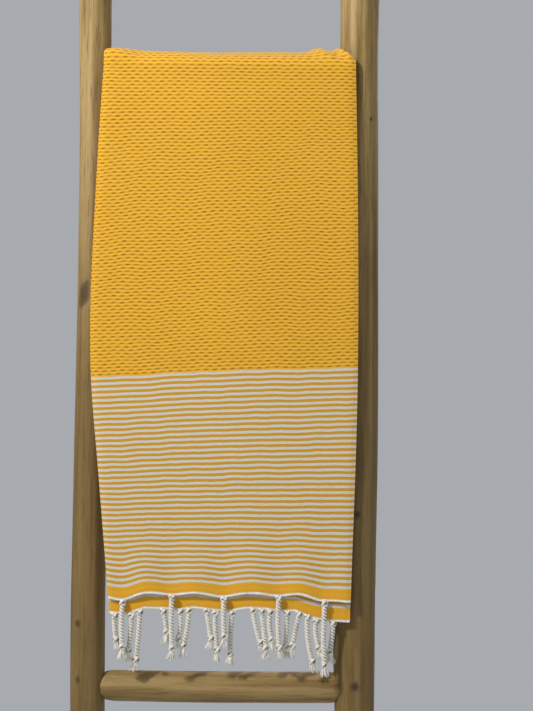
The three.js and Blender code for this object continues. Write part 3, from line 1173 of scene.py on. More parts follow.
@dataclass
class FrontDrop:
    """The front of the towel: over the rung's crown and down the ladder's face.

    Half a towel is one sheet, folded in thirds. Distances along it are taken up from its hem.
    """

    place: LadderFrame
    fold: ThirdsFold
    stack: StackOfLayers
    cloth: HammamCloth
    standoff: float = 0.031
    crown: float = 0.0216
    outer_drop: float = 0.658
    inner_drop: float = 0.677
    split_angle: float = math.radians(38)
    rail_x: float = 0.169
    rail_clearance: float = 0.0272
    row: float = 0.0021
    stripe_row: float = 0.0034
    tilt: float = 0.0075
    arch: float = 0.0018
    ripple: float = 0.0042
    ripple_reach: float = 0.045
    sag_reach: float = 0.050
    inner_droop: Slope = Slope(0.0065, 0.070, 0.120)
    right_droop: Slope = Slope(0.0090, 0.128, 0.160)
    left_droop: Slope = Slope(0.0030, 0.128, 0.152)
    rise_between: float = 0.0030
    pull_reach: float = 0.020
    hold: float = 0.85
    hold_reach: float = 0.018
    sag_fade: float = 1.3
    ripple_fade: float = 1.5
    inner_ripple: float = 0.25
    settling: tuple = (0.50, 0.66)
    lift_reach: float = 0.24
    wave_reach: float = 0.05
    waves: tuple = (0.0011, 0.0012)
    wanders: tuple = (0.00045, 0.00040)
    wander_share: tuple = (0.45, 0.75)
    round_power: float = 2.0
    corner_power: float = 2.6
    left_corner: tuple = (0.72, 1.0)
    right_corner: Slope = Slope(0.25, 0.88, 0.98)
    bumps_rise: tuple = (0.1, 0.7)
    bumps_end: float = 0.35
    left_rise: Slope = Slope(0.0012, 0.55, 0.95)
    puff: Bulge = Bulge(0.0060, 0.810, 0.075)
    ear: Bulge = Bulge(0.0050, 0.968, 0.026)
    ear_droop: Slope = Slope(-0.0055, 0.975, 1.0)
    slack: Bulge = Bulge(-0.0012, -0.15, 0.35)
    crown_steps: int = 400
    rail_forward: float = 0.002
    relief_edge: float = 0.002
    bend_above: float = 0.008
    bend_below: float = 0.016
    left_edge: tuple = (
        (0.0, -0.153),
        (0.130, -0.160),
        (0.400, -0.164),
        (0.500, -0.155),
        (0.674, -0.139),
    )
    right_edge: tuple = ((0.0, 0.160), (0.130, 0.163), (0.400, 0.165), (0.674, 0.158))
    knots: tuple = (
        HemKnot(-0.1245, 0.0075),
        HemKnot(-0.0635, 0.0005),
        HemKnot(0.0011, 0.0030),
        HemKnot(0.0694, 0.0008),
        HemKnot(0.1264, 0.0065),
    )

    def crown_tables(self) -> tuple[np.ndarray, np.ndarray]:
        """The crown's turn, and the distance along it, in front of and behind its top.

        Returns:
            Angles up from the front, and the distances to them along the stack's middle.
        """
        turn = np.linspace(0.0, math.pi / 2 + self.split_angle, self.crown_steps)
        f = self.reach(turn) * np.cos(turn)
        a = self.crown * np.sin(turn)
        steps = np.hypot(np.diff(f), np.diff(a))
        return turn, np.concatenate([[0.0], np.cumsum(steps)])

    def reach(self, turn: np.ndarray) -> np.ndarray:
        """How far the crown reaches forwards or back: looser in front than behind."""
        return np.where(turn < math.pi / 2, self.standoff, self.crown)

    def length(self, outer: bool) -> float:
        """The distance along the cloth from its hem to where the rear part takes over."""
        drop = self.outer_drop if outer else self.inner_drop
        return drop + float(self.crown_tables()[1][-1])

    def rows(self, outer: bool) -> np.ndarray:
        """Sets out the cloth's rows, in step with its stripes and then with its honeycomb.

        Args:
            outer: Whether this is the outer half of the towel.

        Returns:
            Each row's distance up from the hem.
        """
        band = np.linspace(0.0, self.cloth.band_top, 5)[:-1]
        striped = np.arange(self.cloth.band_top, self.cloth.stripes_top, self.stripe_row)
        total = self.length(outer)
        first = math.ceil(self.cloth.stripes_top / self.row) * self.row
        woven = np.arange(first, total - self.row / 2, self.row)
        return np.concatenate([band, striped, woven, [total]])

    def hem_sag(self, x: np.ndarray) -> np.ndarray:
        """How far the hem hangs down: pulled down at its knots and drooping at its ends.

        Args:
            x: The places across.

        Returns:
            The sag at each place, below zero where the hem stands higher.
        """
        sag = np.full_like(x, -self.rise_between)
        for knot in self.knots:
            sag = sag + Bulge(knot.sag + self.rise_between, knot.x, self.pull_reach).at(x)
        sag = sag + self.right_droop.at(x)
        return sag + self.left_droop.at(-x)

    def pull(self, x: float, outer: bool) -> float:
        """How far the hem of one half hangs down where a tassel is tied to it."""
        sag = float(self.hem_sag(np.array([x]))[0])
        return sag if outer else sag + float(self.inner_droop.at(np.array([x]))[0])

    def hem_ripple(self, x: np.ndarray) -> np.ndarray:
        """How far the hem stands forward: back at its knots and out between them.

        Args:
            x: The places across.

        Returns:
            The distance forward at each place.
        """
        out = np.ones_like(x)
        for knot in self.knots:
            out = out - Bulge(self.hold, knot.x, self.hold_reach).at(x)
        return self.ripple * out

    def weave_wander(self, x: np.ndarray, s: np.ndarray) -> np.ndarray:
        """How far the woven rows stray up and down, as hand-beaten rows do.

        Args:
            x: The places across.
            s: The distances up from the hem.

        Returns:
            The stray at each place, from sines whose wave numbers share no factor.
        """
        slow = np.sin(x * 31.0 + 2.0 * np.sin(s * 9.0)) + np.sin(x * 67.0 - s * 13.0 + 1.3)
        quick = np.sin(x * 151.0 + 3.0 * np.sin(s * 41.0) + 0.4)
        woven = smooth_step(s, self.cloth.stripes_top - 0.02, self.cloth.stripes_top + 0.08)
        wander = self.wanders[0] * slow + self.wanders[1] * quick
        return wander * (self.wander_share[0] + self.wander_share[1] * woven)

    def surface(self, outer: bool) -> tuple[np.ndarray, np.ndarray]:
        """The half's layers as a grid of places.

        Args:
            outer: Whether this is the outer half of the towel.

        Returns:
            Rows by columns by three, in metres, and each row's distance up from the hem.
        """
        columns = self.fold.columns()
        v = self.rows(outer)
        drop = self.outer_drop if outer else self.inner_drop
        across, rows_v = np.meshgrid(columns["across"], v)
        hem_left, hem_right = self.left_edge[-1][1], self.right_edge[-1][1]
        rough_x = hem_left + (hem_right - hem_left) * across
        live = np.exp(-((rows_v / self.sag_reach) ** self.sag_fade))
        settled = 1.0 - smooth_step(rows_v, *self.settling)
        lift = self.tilt * (2.0 * across - 1.0) + self.arch * np.sin(math.pi * across)
        lift = lift * smooth_step(rows_v, 0.0, self.lift_reach) * settled
        sag = self.hem_sag(rough_x)
        if not outer:
            sag = sag + self.inner_droop.at(rough_x)
        s = rows_v - sag * live + lift + self.weave_wander(rough_x, rows_v) * settled
        mid = self.middle(s - drop, across)
        f, a = mid[..., 0], mid[..., 1]
        x = self.sideways(np.maximum(-a, 0.0), f, a, across) + columns["extra"]
        belly = self.hem_ripple(rough_x) * np.exp(-((rows_v / self.ripple_reach) ** self.ripple_fade))
        flat = smooth_step(-a, 0.0, self.wave_reach)
        belly = belly * (1.0 if outer else self.inner_ripple) + flat * self.undulation(x, -a)
        base = np.stack([x, f, a], axis=2)
        normal = self.row_normal(mid)
        outwards = np.stack([np.zeros_like(x), normal[..., 0], normal[..., 1]], axis=2)
        off = self.stack.offset(columns["depth"], columns["across"], outer)
        relief = self.relief(columns["u"], v) * (1.0 if outer else -1.0)
        base = base + outwards * (off + relief)[..., None]
        base[..., 1] += belly
        return self.to_world(base), v

    def middle(self, beyond: np.ndarray, across: np.ndarray) -> np.ndarray:
        """The stack's middle surface, in front of the rung and above its middle.

        Args:
            beyond: The distance along the cloth past the level of the rung's middle.
            across: The place across the towel, from 0 to 1.

        Returns:
            Rows by columns by two.
        """
        turns, lengths = self.crown_tables()
        turn = np.interp(np.maximum(beyond, 0.0), lengths, turns)
        side = 2.0 * across - 1.0
        corner = smooth_step(-side, *self.left_corner) + self.right_corner.at(side)
        squared = self.round_power + self.corner_power * corner
        power = np.where(turn < math.pi / 2, squared, self.round_power)
        cosine, sine = np.cos(turn), np.sin(turn)
        fuller = (np.abs(cosine) ** power + np.abs(sine) ** power) ** (-1.0 / power)
        cosine, sine = cosine * fuller, sine * fuller
        f = self.reach(turn) * cosine
        rise = self.crown + self.crown_bumps(across) * smooth_step(turn, *self.bumps_rise)
        behind = 1.0 - smooth_step(turn, math.pi / 2 - self.bumps_end, math.pi / 2 + self.split_angle)
        a = (self.crown + (rise - self.crown) * behind) * sine
        a = np.where(beyond > 0.0, a, beyond)
        return np.stack([f, a], axis=2)

    def crown_bumps(self, across: np.ndarray) -> np.ndarray:
        """How much higher than the rung's round the cloth stands along the crown.

        Args:
            across: The places across the towel, from 0 to 1.

        Returns:
            The extra height at each place.
        """
        x = 2.0 * across - 1.0
        raised = self.left_rise.at(-x) + self.puff.at(x) + self.ear.at(x)
        return raised + self.ear_droop.at(x) + self.slack.at(x)

    def row_normal(self, mid: np.ndarray) -> np.ndarray:
        """The way out of the middle surface, across its rows.

        Args:
            mid: The middle surface, rows by columns by two.

        Returns:
            Unit vectors, forward and up.
        """
        step = np.gradient(mid, axis=0)
        out = np.stack([step[..., 1], -step[..., 0]], axis=2)
        return out / np.maximum(np.linalg.norm(out, axis=2, keepdims=True), TINY)

    def sideways(self, down: np.ndarray, f: np.ndarray, a: np.ndarray, across: np.ndarray) -> np.ndarray:
        """The place across: the drop's own edges in front, squeezed between the rails over the rung.

        Args:
            down: The distance down from the rung's middle.
            f: The distance in front of the rung's middle.
            a: The distance up from the rung's middle.
            across: The place across the towel, from 0 to 1.

        Returns:
            Each point's x.
        """
        left = through(down, list(self.left_edge))
        right = through(down, list(self.right_edge))
        past = np.maximum(f - self.rail_forward, 0.0)
        inside = np.sqrt(np.maximum(self.rail_clearance**2 - past**2, 0.0))
        unlimited = 1.0
        limit = np.where(a > 0.0, self.rail_x - inside, unlimited)
        left = np.maximum(left, -limit)
        right = np.minimum(right, limit)
        return left + (right - left) * across

    def undulation(self, x: np.ndarray, down: np.ndarray) -> np.ndarray:
        """Slow waves in the hanging cloth, never back towards the ladder.

        Args:
            x: The places across.
            down: The distances down from the rung's middle.

        Returns:
            The distance forward at each place.
        """
        tall = 0.5 + 0.5 * np.sin(x * 29.0 + 0.9 * np.sin(down * 7.0) + 0.5)
        low = 0.5 + 0.5 * np.sin(x * 13.0 - down * 5.0 + 2.1)
        return self.waves[0] * tall + self.waves[1] * low

    def relief(self, u: np.ndarray, v: np.ndarray) -> np.ndarray:
        """The honeycomb's pits, as a height outwards.

        Args:
            u: Each column's distance across the cloth.
            v: Each row's distance up the cloth.

        Returns:
            The height at each row and column, none on the stripes.
        """
        across, up = np.meshgrid(u, v)
        cells = np.cos(across * math.tau / self.cloth.cell_width)
        cells = cells * np.cos(up * math.pi / self.cloth.row_pitch)
        woven = smooth_step(up, self.cloth.stripes_top, self.cloth.stripes_top + self.relief_edge)
        return -self.stack.dimple * cells * woven

    def to_world(self, base: np.ndarray) -> np.ndarray:
        """Turns places on the ladder into the world's.

        Args:
            base: Places as x, forward and up from the top rung's middle.

        Returns:
            The same places in the world's axes.
        """
        heart = np.array(self.place.top_rung)
        forward = np.array(self.place.forward)
        up = np.array(self.place.up)
        x = np.array([1.0, 0.0, 0.0])
        return heart + base[..., 0:1] * x + base[..., 1:2] * forward + base[..., 2:3] * up

    def build(self, outer: bool, maker: ClothGrid) -> bpy.types.Object:
        """Makes one half of the front drop.

        Args:
            outer: Whether this is the outer half of the towel.
            maker: What turns the grid into a sheet.

        Returns:
            The sheet.
        """
        places, v = self.surface(outer)
        name = "towel_outer_half" if outer else "towel_inner_half"
        sheet = maker.build(name, places, self.fold.columns()["u"], v)
        nodes = ("towel_saddle", "towel_front_outer") if outer else ("towel_front_inner",)
        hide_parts(*nodes)
        hinge = self.place.hinge("front_drop_swing")
        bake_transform(sheet)
        return sheet

    def hem_line(self, outer: bool) -> np.ndarray:
        """The line of the hem, through all three layers."""
        return self.surface(outer)[0][0]


@dataclass
class RearDrop:
    """The rear of the towel: both halves, joined by the fold at its bottom, hanging plumb."""

    place: LadderFrame
    fold: ThirdsFold
    stack: StackOfLayers
    front: FrontDrop
    bottom: float = field(init=False)
    half_widths: tuple = ((0.0, 0.1405), (0.082, 0.1405), (0.132, 0.157), (0.245, 0.160))
    coarse_row: float = 0.0084
    crown_rows: int = 9
    fold_gap: float = 0.002
    split_reach: float = 0.05
    loose_limits: tuple = (0.02, 0.20)
    wave: float = 0.0035
    hem_wave: float = 0.004
    bend_above: float = 0.006
    bend_below: float = 0.014

    def __post_init__(self) -> None:
        """Reads where the rear drop ends."""
        self.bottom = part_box("towel_rear_drop")[0].z

    def path(self) -> tuple[np.ndarray, np.ndarray, np.ndarray]:
        """One trip round the rear: down outside, round the fold and up inside.

        Returns:
            For each row: the distance down from the crown along the stack's middle, the turn of the
            fold from 0 outside to pi inside, and the distance along the cloth.
        """
        radius = self.front.crown
        arc = (math.radians(90) - self.place.lean - self.front.split_angle) * radius
        straight = self.place.top_rung.z - self.bottom - self.stack.inner_face
        total = arc + straight
        start = self.front.length(True)
        first = math.ceil(start / self.front.row) * self.front.row - start
        outside = np.concatenate([[0.0], np.arange(first, total - self.front.row / 2, self.front.row)])
        plumb = np.arange(total - self.fold_gap, arc, -self.coarse_row)
        inside = np.concatenate([plumb, np.linspace(arc, 0.0, self.crown_rows)])
        turns = np.linspace(0.0, math.pi, self.crown_rows)
        fold_cloth = math.pi * self.stack.half_gap
        down = np.concatenate([outside, np.full(len(turns), total), inside])
        turn = np.concatenate([np.zeros(len(outside)), turns, np.full(len(inside), math.pi)])
        rounding = total + turns / math.pi * fold_cloth
        along = np.concatenate([outside, rounding, 2 * total + fold_cloth - inside])
        return down, turn, along + start

    def surface(self) -> tuple[np.ndarray, np.ndarray]:
        """The rear's layers as a grid of places.

        Returns:
            Rows by columns by three, in metres, and each row's distance along the cloth.
        """
        columns = self.fold.columns()
        down, turn, along = self.path()
        radius = self.front.crown
        arc = (math.radians(90) - self.place.lean - self.front.split_angle) * radius
        angle = self.front.split_angle + np.minimum(down, arc) / radius
        forward, up = self.place.forward, self.place.up
        heart = np.array(self.place.top_rung)
        out = np.outer(np.cos(angle), np.array(up)) - np.outer(np.sin(angle), np.array(forward))
        middle = heart + radius * out
        middle[:, 2] -= np.maximum(down - arc, 0.0)
        below = np.maximum(down - arc, 0.0)
        off = self.stack.offset(columns["depth"], columns["across"], True)
        relief = self.front.relief(columns["u"], along)
        deep = off[None, :] + relief
        normal = out[:, None, :] * (np.cos(turn)[:, None] * deep)[..., None]
        hang = np.array([0.0, 0.0, -1.0]) * (np.sin(turn)[:, None] * deep)[..., None]
        places = middle[:, None, :] + normal + hang
        half = through(below, list(self.half_widths))
        at_split = self.front.rail_x - self.front.rail_clearance
        half = half + (at_split - half) * np.exp(-((below / self.split_reach) ** 2))
        x = half[:, None] * (2.0 * columns["across"] - 1.0) + columns["extra"]
        loose = smooth_step(below, *self.loose_limits)[:, None]
        places[..., 0] += x
        places[..., 1] += self.wave * loose * (0.5 + 0.5 * np.sin(x * 38.0 + 0.8))
        places[..., 2] += self.hem_wave * loose * np.sin(x * 11.0 + 0.6)
        return places, along

    def build(self, maker: ClothGrid) -> bpy.types.Object:
        """Makes the rear drop.

        Args:
            maker: What turns the grid into a sheet.

        Returns:
            The sheet.
        """
        places, along = self.surface()
        sheet = maker.build("towel_rear", places, self.fold.columns()["u"], along)
        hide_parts("towel_rear_drop")
        hinge = self.place.hinge("rear_drop_swing")
        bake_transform(sheet)
        return sheet


# ---------------------------------------------------------------- fringe and hems


class TubeBasket:
    """Collects closed tubes that become one piece."""

    ANY_SIDE = (0.31, 0.87, 0.38)  # a direction that no tube starts along
    # where the painted shade between strands starts, and where it is darkest
    GROOVE_SHADE_LIMITS = (0.05, 0.34)  # where a crease starts, and where it is at its darkest

    def __init__(self) -> None:
        """Starts empty."""
        self.points: list = []
        self.faces: list = []
        self.groove_shades: list = []

    def add(
        self,
        line: np.ndarray,
        wide: np.ndarray,
        sides: int,
        closed: bool = False,
        heart: np.ndarray | None = None,
    ) -> None:
        """Adds a tube along a line.

        Args:
            line: The tube's middle line, points by three.
            wide: Its radius at each point.
            sides: How many sides it has.
            closed: Whether its end joins its start.
            heart: The middle line of what it is wound round; its inner side, towards it, gets painted shade.
        """
        count = len(line)
        ahead = np.roll(line, -1, axis=0) - np.roll(line, 1, axis=0)
        if not closed:
            ahead[0] = line[1] - line[0]
            ahead[-1] = line[-1] - line[-2]
        ahead /= np.maximum(np.linalg.norm(ahead, axis=1, keepdims=True), TINY)
        side = np.cross(ahead[0], self.ANY_SIDE)
        base = len(self.points)
        for i in range(count):
            side = side - ahead[i] * float(side @ ahead[i])
            side /= max(float(np.linalg.norm(side)), TINY)
            other = np.cross(ahead[i], side)
            for k in range(sides):
                angle = math.tau * k / sides
                point = line[i] + wide[i] * (math.cos(angle) * side + math.sin(angle) * other)
                self.points.append(point)
                # painted shade, deeper towards the heart
                groove_shade = 0.0 if heart is None else self.groove_shade_at(point, line[i], heart[i], wide[i])
                self.groove_shades.append(groove_shade)
        last = count if closed else count - 1
        for i in range(last):
            ring, following = base + i * sides, base + ((i + 1) % count) * sides
            for k in range(sides):
                step = (k + 1) % sides
                self.faces.append((ring + k, ring + step, following + step, following + k))
        if not closed:
            self.faces.append(tuple(base + k for k in reversed(range(sides))))
            self.faces.append(tuple(base + (count - 1) * sides + k for k in range(sides)))

    def groove_shade_at(self, point: np.ndarray, middle: np.ndarray, heart: np.ndarray, wide: float) -> float:
        """How much painted shade a point gets, from how deep it lies between strands.

        Args:
            point: A point on a strand's skin.
            middle: The strand's own middle there.
            heart: The middle of what the strand is wound round.
            wide: The strand's radius.

        Returns:
            From 0 on the outside to 1 at the heart.
        """
        reach = float(np.linalg.norm(middle - heart)) + wide
        out = float(np.linalg.norm(point - heart)) / reach
        return float(smooth_step(np.array([1.0 - out]), *self.GROOVE_SHADE_LIMITS)[0])

    def piece(self, name: str, material: bpy.types.Material) -> bpy.types.Object:
        """Turns everything collected into one smooth piece.

        Args:
            name: The piece's name.
            material: Its material.

        Returns:
            The piece, its faces pointing outwards.
        """
        obj = new_mesh_object(name, self.points, self.faces)
        attribute = obj.data.attributes.new(GROOVE_SHADE_ATTRIBUTE, "FLOAT", "POINT")
        attribute.data.foreach_set("value", np.array(self.groove_shades, dtype=np.float32))
        activate(obj)
        bpy.ops.object.mode_set(mode="EDIT")
        bpy.ops.mesh.select_all(action="SELECT")
        bpy.ops.mesh.normals_make_consistent(inside=False)
        bpy.ops.object.mode_set(mode="OBJECT")
        bpy.ops.object.shade_smooth()
        obj.data.materials.append(material)
        return obj


@dataclass
class Tassel:
    """One tassel: a top knot on the hem, a two-strand twisted cord, an end knot and a frayed tuft."""

    strand: float = 0.00170
    lay: float = 0.0078
    strand_apart: float = 1.06
    knot_round: float = 0.0021
    knot_strand: float = 0.0018
    yarn: float = 0.00066
    yarns: int = 28
    tuft: float = 0.0145
    own_bend: float = 0.0012
    own_sway: float = 0.0018
    bend_power: float = 1.6
    line_step: float = 0.0011
    line_fewest: int = 12
    cord_sides: int = 8
    yarn_sides: int = 5
    yarn_points: int = 7
    knot_points: int = 42
    knot_waist: float = 0.42
    knot_tall: float = 1.25
    end_knot: float = 1.02
    kick: float = 0.006
    curl: float = 0.0012
    tuft_gap: float = 0.002

    def build(
        self,
        name: str,
        knot: Vector,
        length: float,
        lean: Vector,
        seed: int,
        material: bpy.types.Material,
    ) -> bpy.types.Object:
        """Makes one tassel.

        Args:
            name: The piece's name.
            knot: The middle of its top knot.
            length: From there to the middle of its end knot.
            lean: How far its lower end is set aside from straight below its top knot.
            seed: What makes it unlike its neighbours.
            material: Its yarn.

        Returns:
            The tassel.
        """
        draw = random.Random(seed)
        basket = TubeBasket()
        line = self.hang(knot, length, lean, draw)
        self.add_strands(basket, line)
        self.add_knot(basket, line[0], draw.uniform(0, math.tau), 1.0)
        self.add_knot(basket, line[-1], draw.uniform(0, math.tau), self.end_knot)
        self.add_tuft(basket, line, draw)
        return basket.piece(name, material)

    def hang(self, knot: Vector, length: float, lean: Vector, draw: random.Random) -> np.ndarray:
        """The cord's middle line: down, with a slight set to one side.

        Args:
            knot: The middle of its top knot.
            length: How far down it goes.
            lean: How far its lower end is set aside.
            draw: Where its own unevenness comes from.

        Returns:
            Points down the cord.
        """
        count = max(self.line_fewest, int(length / self.line_step))
        t = np.linspace(0.0, 1.0, count)
        bend = lean.x + draw.uniform(-self.own_bend, self.own_bend)
        sway = draw.uniform(-self.own_sway, self.own_sway)
        x = knot.x + bend * t**self.bend_power + sway * np.sin(math.pi * t)
        y = knot.y + lean.y * np.sin(0.5 * math.pi * t)
        z = knot.z - length * t
        return np.stack([x, y, z], axis=1)

    def add_strands(self, basket: TubeBasket, line: np.ndarray) -> None:
        """Adds the cord's two strands, twisted round each other.

        Args:
            basket: What collects the tassel's tubes.
            line: The cord's middle line.
        """
        steps = np.linalg.norm(np.diff(line, axis=0), axis=1)
        along = np.concatenate([[0.0], np.cumsum(steps)])
        for start in (0.0, math.pi):
            turn = start + math.tau * along / self.lay
            strand = line.copy()
            strand[:, 0] += self.strand_apart * self.strand * np.cos(turn)
            strand[:, 1] += self.strand_apart * self.strand * np.sin(turn)
            basket.add(strand, np.full(len(line), self.strand), self.cord_sides, heart=line)

    def add_knot(self, basket: TubeBasket, middle: np.ndarray, turned: float, size: float) -> None:
        """Adds an overhand knot: a closed trefoil of the cord, pulled tight.

        Args:
            basket: What collects the tassel's tubes.
            middle: The knot's middle.
            turned: How far it is turned about the cord, in radians.
            size: Its size, where 1 is the top knot's.
        """
        t = np.linspace(0.0, math.tau, self.knot_points, endpoint=False)
        radius = self.knot_round * size * (1.0 + self.knot_waist * np.cos(3.0 * t))
        x = middle[0] + radius * np.cos(2.0 * t + turned)
        y = middle[1] + radius * np.sin(2.0 * t + turned)
        z = middle[2] + self.knot_tall * self.knot_round * size * np.sin(3.0 * t)
        heart = np.tile(middle, (len(t), 1))
        wide = np.full(len(t), self.knot_strand * size)
        basket.add(np.stack([x, y, z], axis=1), wide, self.cord_sides, closed=True, heart=heart)

    def add_tuft(self, basket: TubeBasket, line: np.ndarray, draw: random.Random) -> None:
        """Adds the frayed yarn ends below the end knot, kicked to one side.

        Args:
            basket: What collects the tassel's tubes.
            line: The cord's middle line, which ends at the end knot.
            draw: Where the ends' unevenness comes from.
        """
        kick = draw.uniform(-self.kick, self.kick)
        t = np.linspace(0.0, 1.0, self.yarn_points)
        for number in range(self.yarns):
            angle = math.tau * number / self.yarns + draw.uniform(-0.3, 0.3)
            spread = draw.uniform(0.2, 1.0)
            long = self.tuft * draw.uniform(0.72, 1.0)
            curl = draw.uniform(-self.curl, self.curl)
            x = line[-1, 0] + math.cos(angle) * (0.0018 + 0.0050 * spread * t**1.2) + kick * t**1.5
            y = line[-1, 1] + math.sin(angle) * (0.0016 + 0.0034 * spread * t**1.2) + curl * np.sin(3 * t)
            z = line[-1, 2] - self.tuft_gap - long * t + abs(kick) * 0.4 * t**2
            radius = self.yarn * (1.15 - 0.55 * t)
            basket.add(np.stack([x, y, z], axis=1), radius, self.yarn_sides)


@dataclass
class Hem:
    """A rolled and whipped hem edge, through all three layers of one half."""

    thick: float = 0.00070
    tall: float = 0.00125
    whip: float = 0.0030
    whip_height: float = 0.00022
    stray: float = 0.0004
    stray_scale: float = 120.0
    overlap: float = 0.92
    step: float = 0.0010
    sides: int = 10

    def build(
        self, name: str, line: np.ndarray, up: Vector, material: bpy.types.Material
    ) -> bpy.types.Object:
        """Makes the hem.

        Args:
            name: The piece's name.
            line: The cloth's lower edge.
            up: The way up the cloth.
            material: Its yarn.

        Returns:
            The hem, its top edge against the cloth's lower edge.
        """
        dense = self.resample(line)
        steps = np.linalg.norm(np.diff(dense, axis=0), axis=1)
        along = np.concatenate([[0.0], np.cumsum(steps)])
        ahead = np.gradient(dense, axis=0)
        ahead /= np.linalg.norm(ahead, axis=1, keepdims=True)
        upward = np.tile(np.array(up), (len(dense), 1))
        upward -= ahead * np.sum(upward * ahead, axis=1, keepdims=True)
        upward /= np.linalg.norm(upward, axis=1, keepdims=True)
        out = np.cross(ahead, upward)
        points, faces = [], []
        for i, middle in enumerate(dense):
            for k in range(self.sides):
                angle = math.tau * k / self.sides
                swell = self.whip_height * math.cos(angle + math.tau * along[i] / self.whip)
                swell += self.stray * noise.noise(Vector((along[i] * self.stray_scale, 2.0, 0.5)))
                across = out[i] * (self.thick + swell) * math.sin(angle)
                above = upward[i] * ((self.tall + swell) * math.cos(angle) - self.tall * self.overlap)
                points.append(middle + across + above)
        for i in range(len(dense) - 1):
            for k in range(self.sides):
                step = (k + 1) % self.sides
                ring, following = i * self.sides, (i + 1) * self.sides
                faces.append((ring + k, ring + step, following + step, following + k))
        faces.append(tuple(range(self.sides)))
        faces.append(tuple(reversed(range(len(points) - self.sides, len(points)))))
        basket = TubeBasket()
        basket.points, basket.faces, basket.groove_shades = points, faces, [0.0] * len(points)
        return basket.piece(name, material)

    def resample(self, line: np.ndarray) -> np.ndarray:
        """Sets a line's points close enough together for the whipping to show.

        Args:
            line: The line, points by three.

        Returns:
            The same line with more points.
        """
        steps = np.linalg.norm(np.diff(line, axis=0), axis=1)
        along = np.concatenate([[0.0], np.cumsum(steps)])
        wanted = np.linspace(0.0, along[-1], int(along[-1] / self.step))
        return np.stack([np.interp(wanted, along, line[:, axis]) for axis in range(3)], axis=1)


@dataclass
class Towel:
    """The whole folded towel: two front halves, the rear, two hems and the fringe."""

    place: LadderFrame
    fold: ThirdsFold = field(default_factory=ThirdsFold)
    stack: StackOfLayers = field(default_factory=StackOfLayers)
    cloth: HammamCloth = field(default_factory=HammamCloth)
    yarn: TwistedCotton = field(default_factory=TwistedCotton)
    knot_lift: float = 0.0025
    gather: float = 0.28
    outer_forward: float = 0.0066
    inner_forward: float = 0.0
    outer_band: float = 0.002
    tuft_past: float = 0.0005
    first_seed: int = 100

    def build(self) -> list[bpy.types.Object]:
        """Makes and dresses all of the towel.

        Returns:
            The new pieces.
        """
        maker = ClothGrid(self.stack, self.cloth.build())
        cotton = self.yarn.build()
        front = FrontDrop(self.place, self.fold, self.stack, self.cloth)
        rear = RearDrop(self.place, self.fold, self.stack, front)
        outer = front.build(True, maker)
        inner = front.build(False, maker)
        back = rear.build(maker)
        hems = [self.make_hem(front, half, cotton) for half in (True, False)]
        fringe = self.make_fringe(front, cotton)
        for sheet, half in ((outer, True), (inner, False)):
            front.length(half)
        round_trip = float(rear.path()[2][-1] - rear.path()[2][0])
        made = [outer, inner, back, *hems, *(tassel for tassel, _ in fringe)]
        for piece in made:
            LOG.info("%s: %d faces", piece.name, len(piece.data.polygons))
        return made

    def make_hem(self, front: FrontDrop, outer: bool, cotton: bpy.types.Material) -> bpy.types.Object:
        """Makes one half's hem.

        Args:
            front: The front drop, whose lower edge it rolls.
            outer: Whether this is the outer half of the towel.
            cotton: Its yarn.

        Returns:
            The hem.
        """
        node = "outer_hem" if outer else "inner_hem"
        hem = Hem().build(f"{node}_roll", front.hem_line(outer), self.place.up, cotton)
        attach(hem, "front_drop")
        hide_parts(node)
        return hem

    def cord_lean(self, front: FrontDrop, x: float, is_outer: bool) -> Vector:
        """Where a tassel's lower end is set: towards its cluster's middle, the outer ones in front.

        Args:
            front: The front drop, whose hem knots are the clusters' middles.
            x: Where the tassel is tied.
            is_outer: Whether it is tied to the outer hem.

        Returns:
            How far its lower end is set aside.
        """
        middle = min((knot.x for knot in front.knots), key=lambda place: abs(place - x))
        forward = self.outer_forward if is_outer else self.inner_forward
        return Vector((self.gather * (middle - x), -forward, 0.0))

    def make_fringe(
        self, front: FrontDrop, cotton: bpy.types.Material
    ) -> list[tuple[bpy.types.Object, bool]]:
        """Makes all the tassels, each on its own hinge.

        Args:
            front: The front drop, whose hems they are tied to.
            cotton: Their yarn.

        Returns:
            Each tassel, and whether it is tied to the outer hem.
        """
        knots = self.place.tassel_knots()
        highest = max(knot.z for knot in knots.values())
        made = []
        for number, (node, knot) in enumerate(knots.items()):
            is_outer = knot.z > highest - self.outer_band
            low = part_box(node)[0]
            tassel = Tassel()
            length = knot.z - low.z - tassel.tuft + self.tuft_past
            top = knot + Vector((0.0, 0.0, self.knot_lift - front.pull(knot.x, is_outer)))
            lean = self.cord_lean(front, knot.x, is_outer)
            piece = tassel.build(f"{node}_cord", top, length, lean, self.first_seed + number, cotton)
            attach(piece, node)
            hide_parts(node)
            made.append((piece, is_outer))
        return made


# ---------------------------------------------------------------- studio


@dataclass(frozen=True)
class SoftLight:
    """A square light: where it stands, what it faces, its side, its power in watts and its colour."""

    name: str
    place: tuple
    aim: tuple
    size: float
    power: float
    tone: tuple


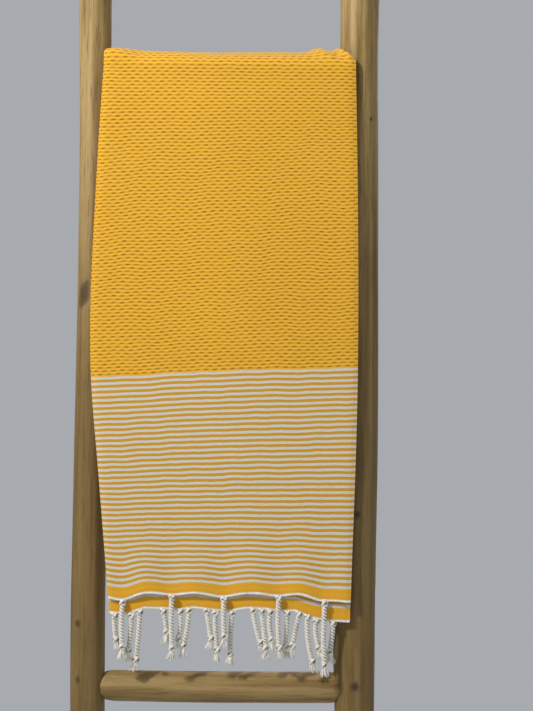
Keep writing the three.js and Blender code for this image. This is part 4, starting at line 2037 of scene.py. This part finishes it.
@dataclass
class Studio:
    """The camera, the lights and a plain floor."""

    distance: float = 1.75
    pitch: float = math.radians(4.0)
    roll: float = math.radians(0.5)
    seen_height: float = 0.894
    aim: tuple = (0.051, 0.0, 0.937)
    frame_width: int = 533
    frame_height: int = 711
    sensor: float = 24.0
    floor_size: float = 2.6
    surround: tuple = (0.67, 0.695, 0.735, 1.0)
    surround_strength: float = 0.58
    lights: tuple = (
        SoftLight("key", (-1.35, -1.20, 2.45), (0.0, 0.0, 1.0), 0.22, 52.0, (1.0, 0.965, 0.91)),
        SoftLight("fill", (1.6, -1.8, 1.2), (0.0, 0.0, 0.9), 1.6, 3.5, (0.92, 0.95, 1.0)),
        SoftLight("behind", (0.9, 2.0, 2.0), (0.0, 0.0, 0.9), 1.6, 22.0, (1.0, 0.98, 0.95)),
    )

    def build(self) -> None:
        """Sets up everything round the object."""
        self.add_camera()
        for light in self.lights:
            self.add_light(light)
        self.add_floor()
        self.set_world()
        bpy.context.scene.view_settings.view_transform = "Standard"

    def add_camera(self) -> None:
        """Adds the camera, square to the ladder's face and a little above the middle of the towel."""
        data = bpy.data.cameras.new("camera")
        data.sensor_fit = "VERTICAL"
        data.sensor_height = self.sensor
        data.sensor_width = data.sensor_height * self.frame_width / self.frame_height
        data.lens = data.sensor_height * self.distance / self.seen_height
        camera = bpy.data.objects.new("camera", data)
        bpy.context.scene.collection.objects.link(camera)
        aim = Vector(self.aim)
        back = Vector((0.0, -math.cos(self.pitch), math.sin(self.pitch)))
        turn = Matrix.Rotation(math.radians(90) - self.pitch, 4, "X") @ Matrix.Rotation(self.roll, 4, "Z")
        camera.matrix_world = Matrix.Translation(aim + back * self.distance) @ turn
        bpy.context.scene.camera = camera

    def add_light(self, light: SoftLight) -> None:
        """Adds one soft light.

        Args:
            light: What it is.
        """
        data = bpy.data.lights.new(light.name, "AREA")
        data.size = light.size
        data.energy = light.power
        data.color = light.tone
        lamp = bpy.data.objects.new(light.name, data)
        bpy.context.scene.collection.objects.link(lamp)
        lamp.location = light.place
        toward = Vector(light.aim) - Vector(light.place)
        lamp.rotation_euler = toward.to_track_quat("-Z", "Y").to_euler()

    def add_floor(self) -> None:
        """Adds the floor."""
        deselect_all()
        bpy.ops.mesh.primitive_plane_add(size=self.floor_size, location=(0.0, 0.0, 0.0))
        floor = bpy.context.object
        floor.name = "floor"
        floor.data.materials.append(PalePlaster().build())

    def set_world(self) -> None:
        """Sets a plain pale surround."""
        world = bpy.data.worlds.new("surround")
        world.use_nodes = True
        background = world.node_tree.nodes["Background"]
        background.inputs["Color"].default_value = self.surround
        background.inputs["Strength"].default_value = self.surround_strength
        bpy.context.scene.world = world


def main() -> None:
    """Builds everything in order."""
    logging.basicConfig(level=logging.INFO, format="%(relativeCreated)7.0f ms  %(name)s: %(message)s")
    Studio().build()
    place = LadderFrame()
    ladder = Ladder(place).build()
    LOG.info("ladder: %d pieces", len(ladder))
    towel = Towel(place).build()
    LOG.info("towel: %d pieces", len(towel))


if __name__ == "__main__":
    main()
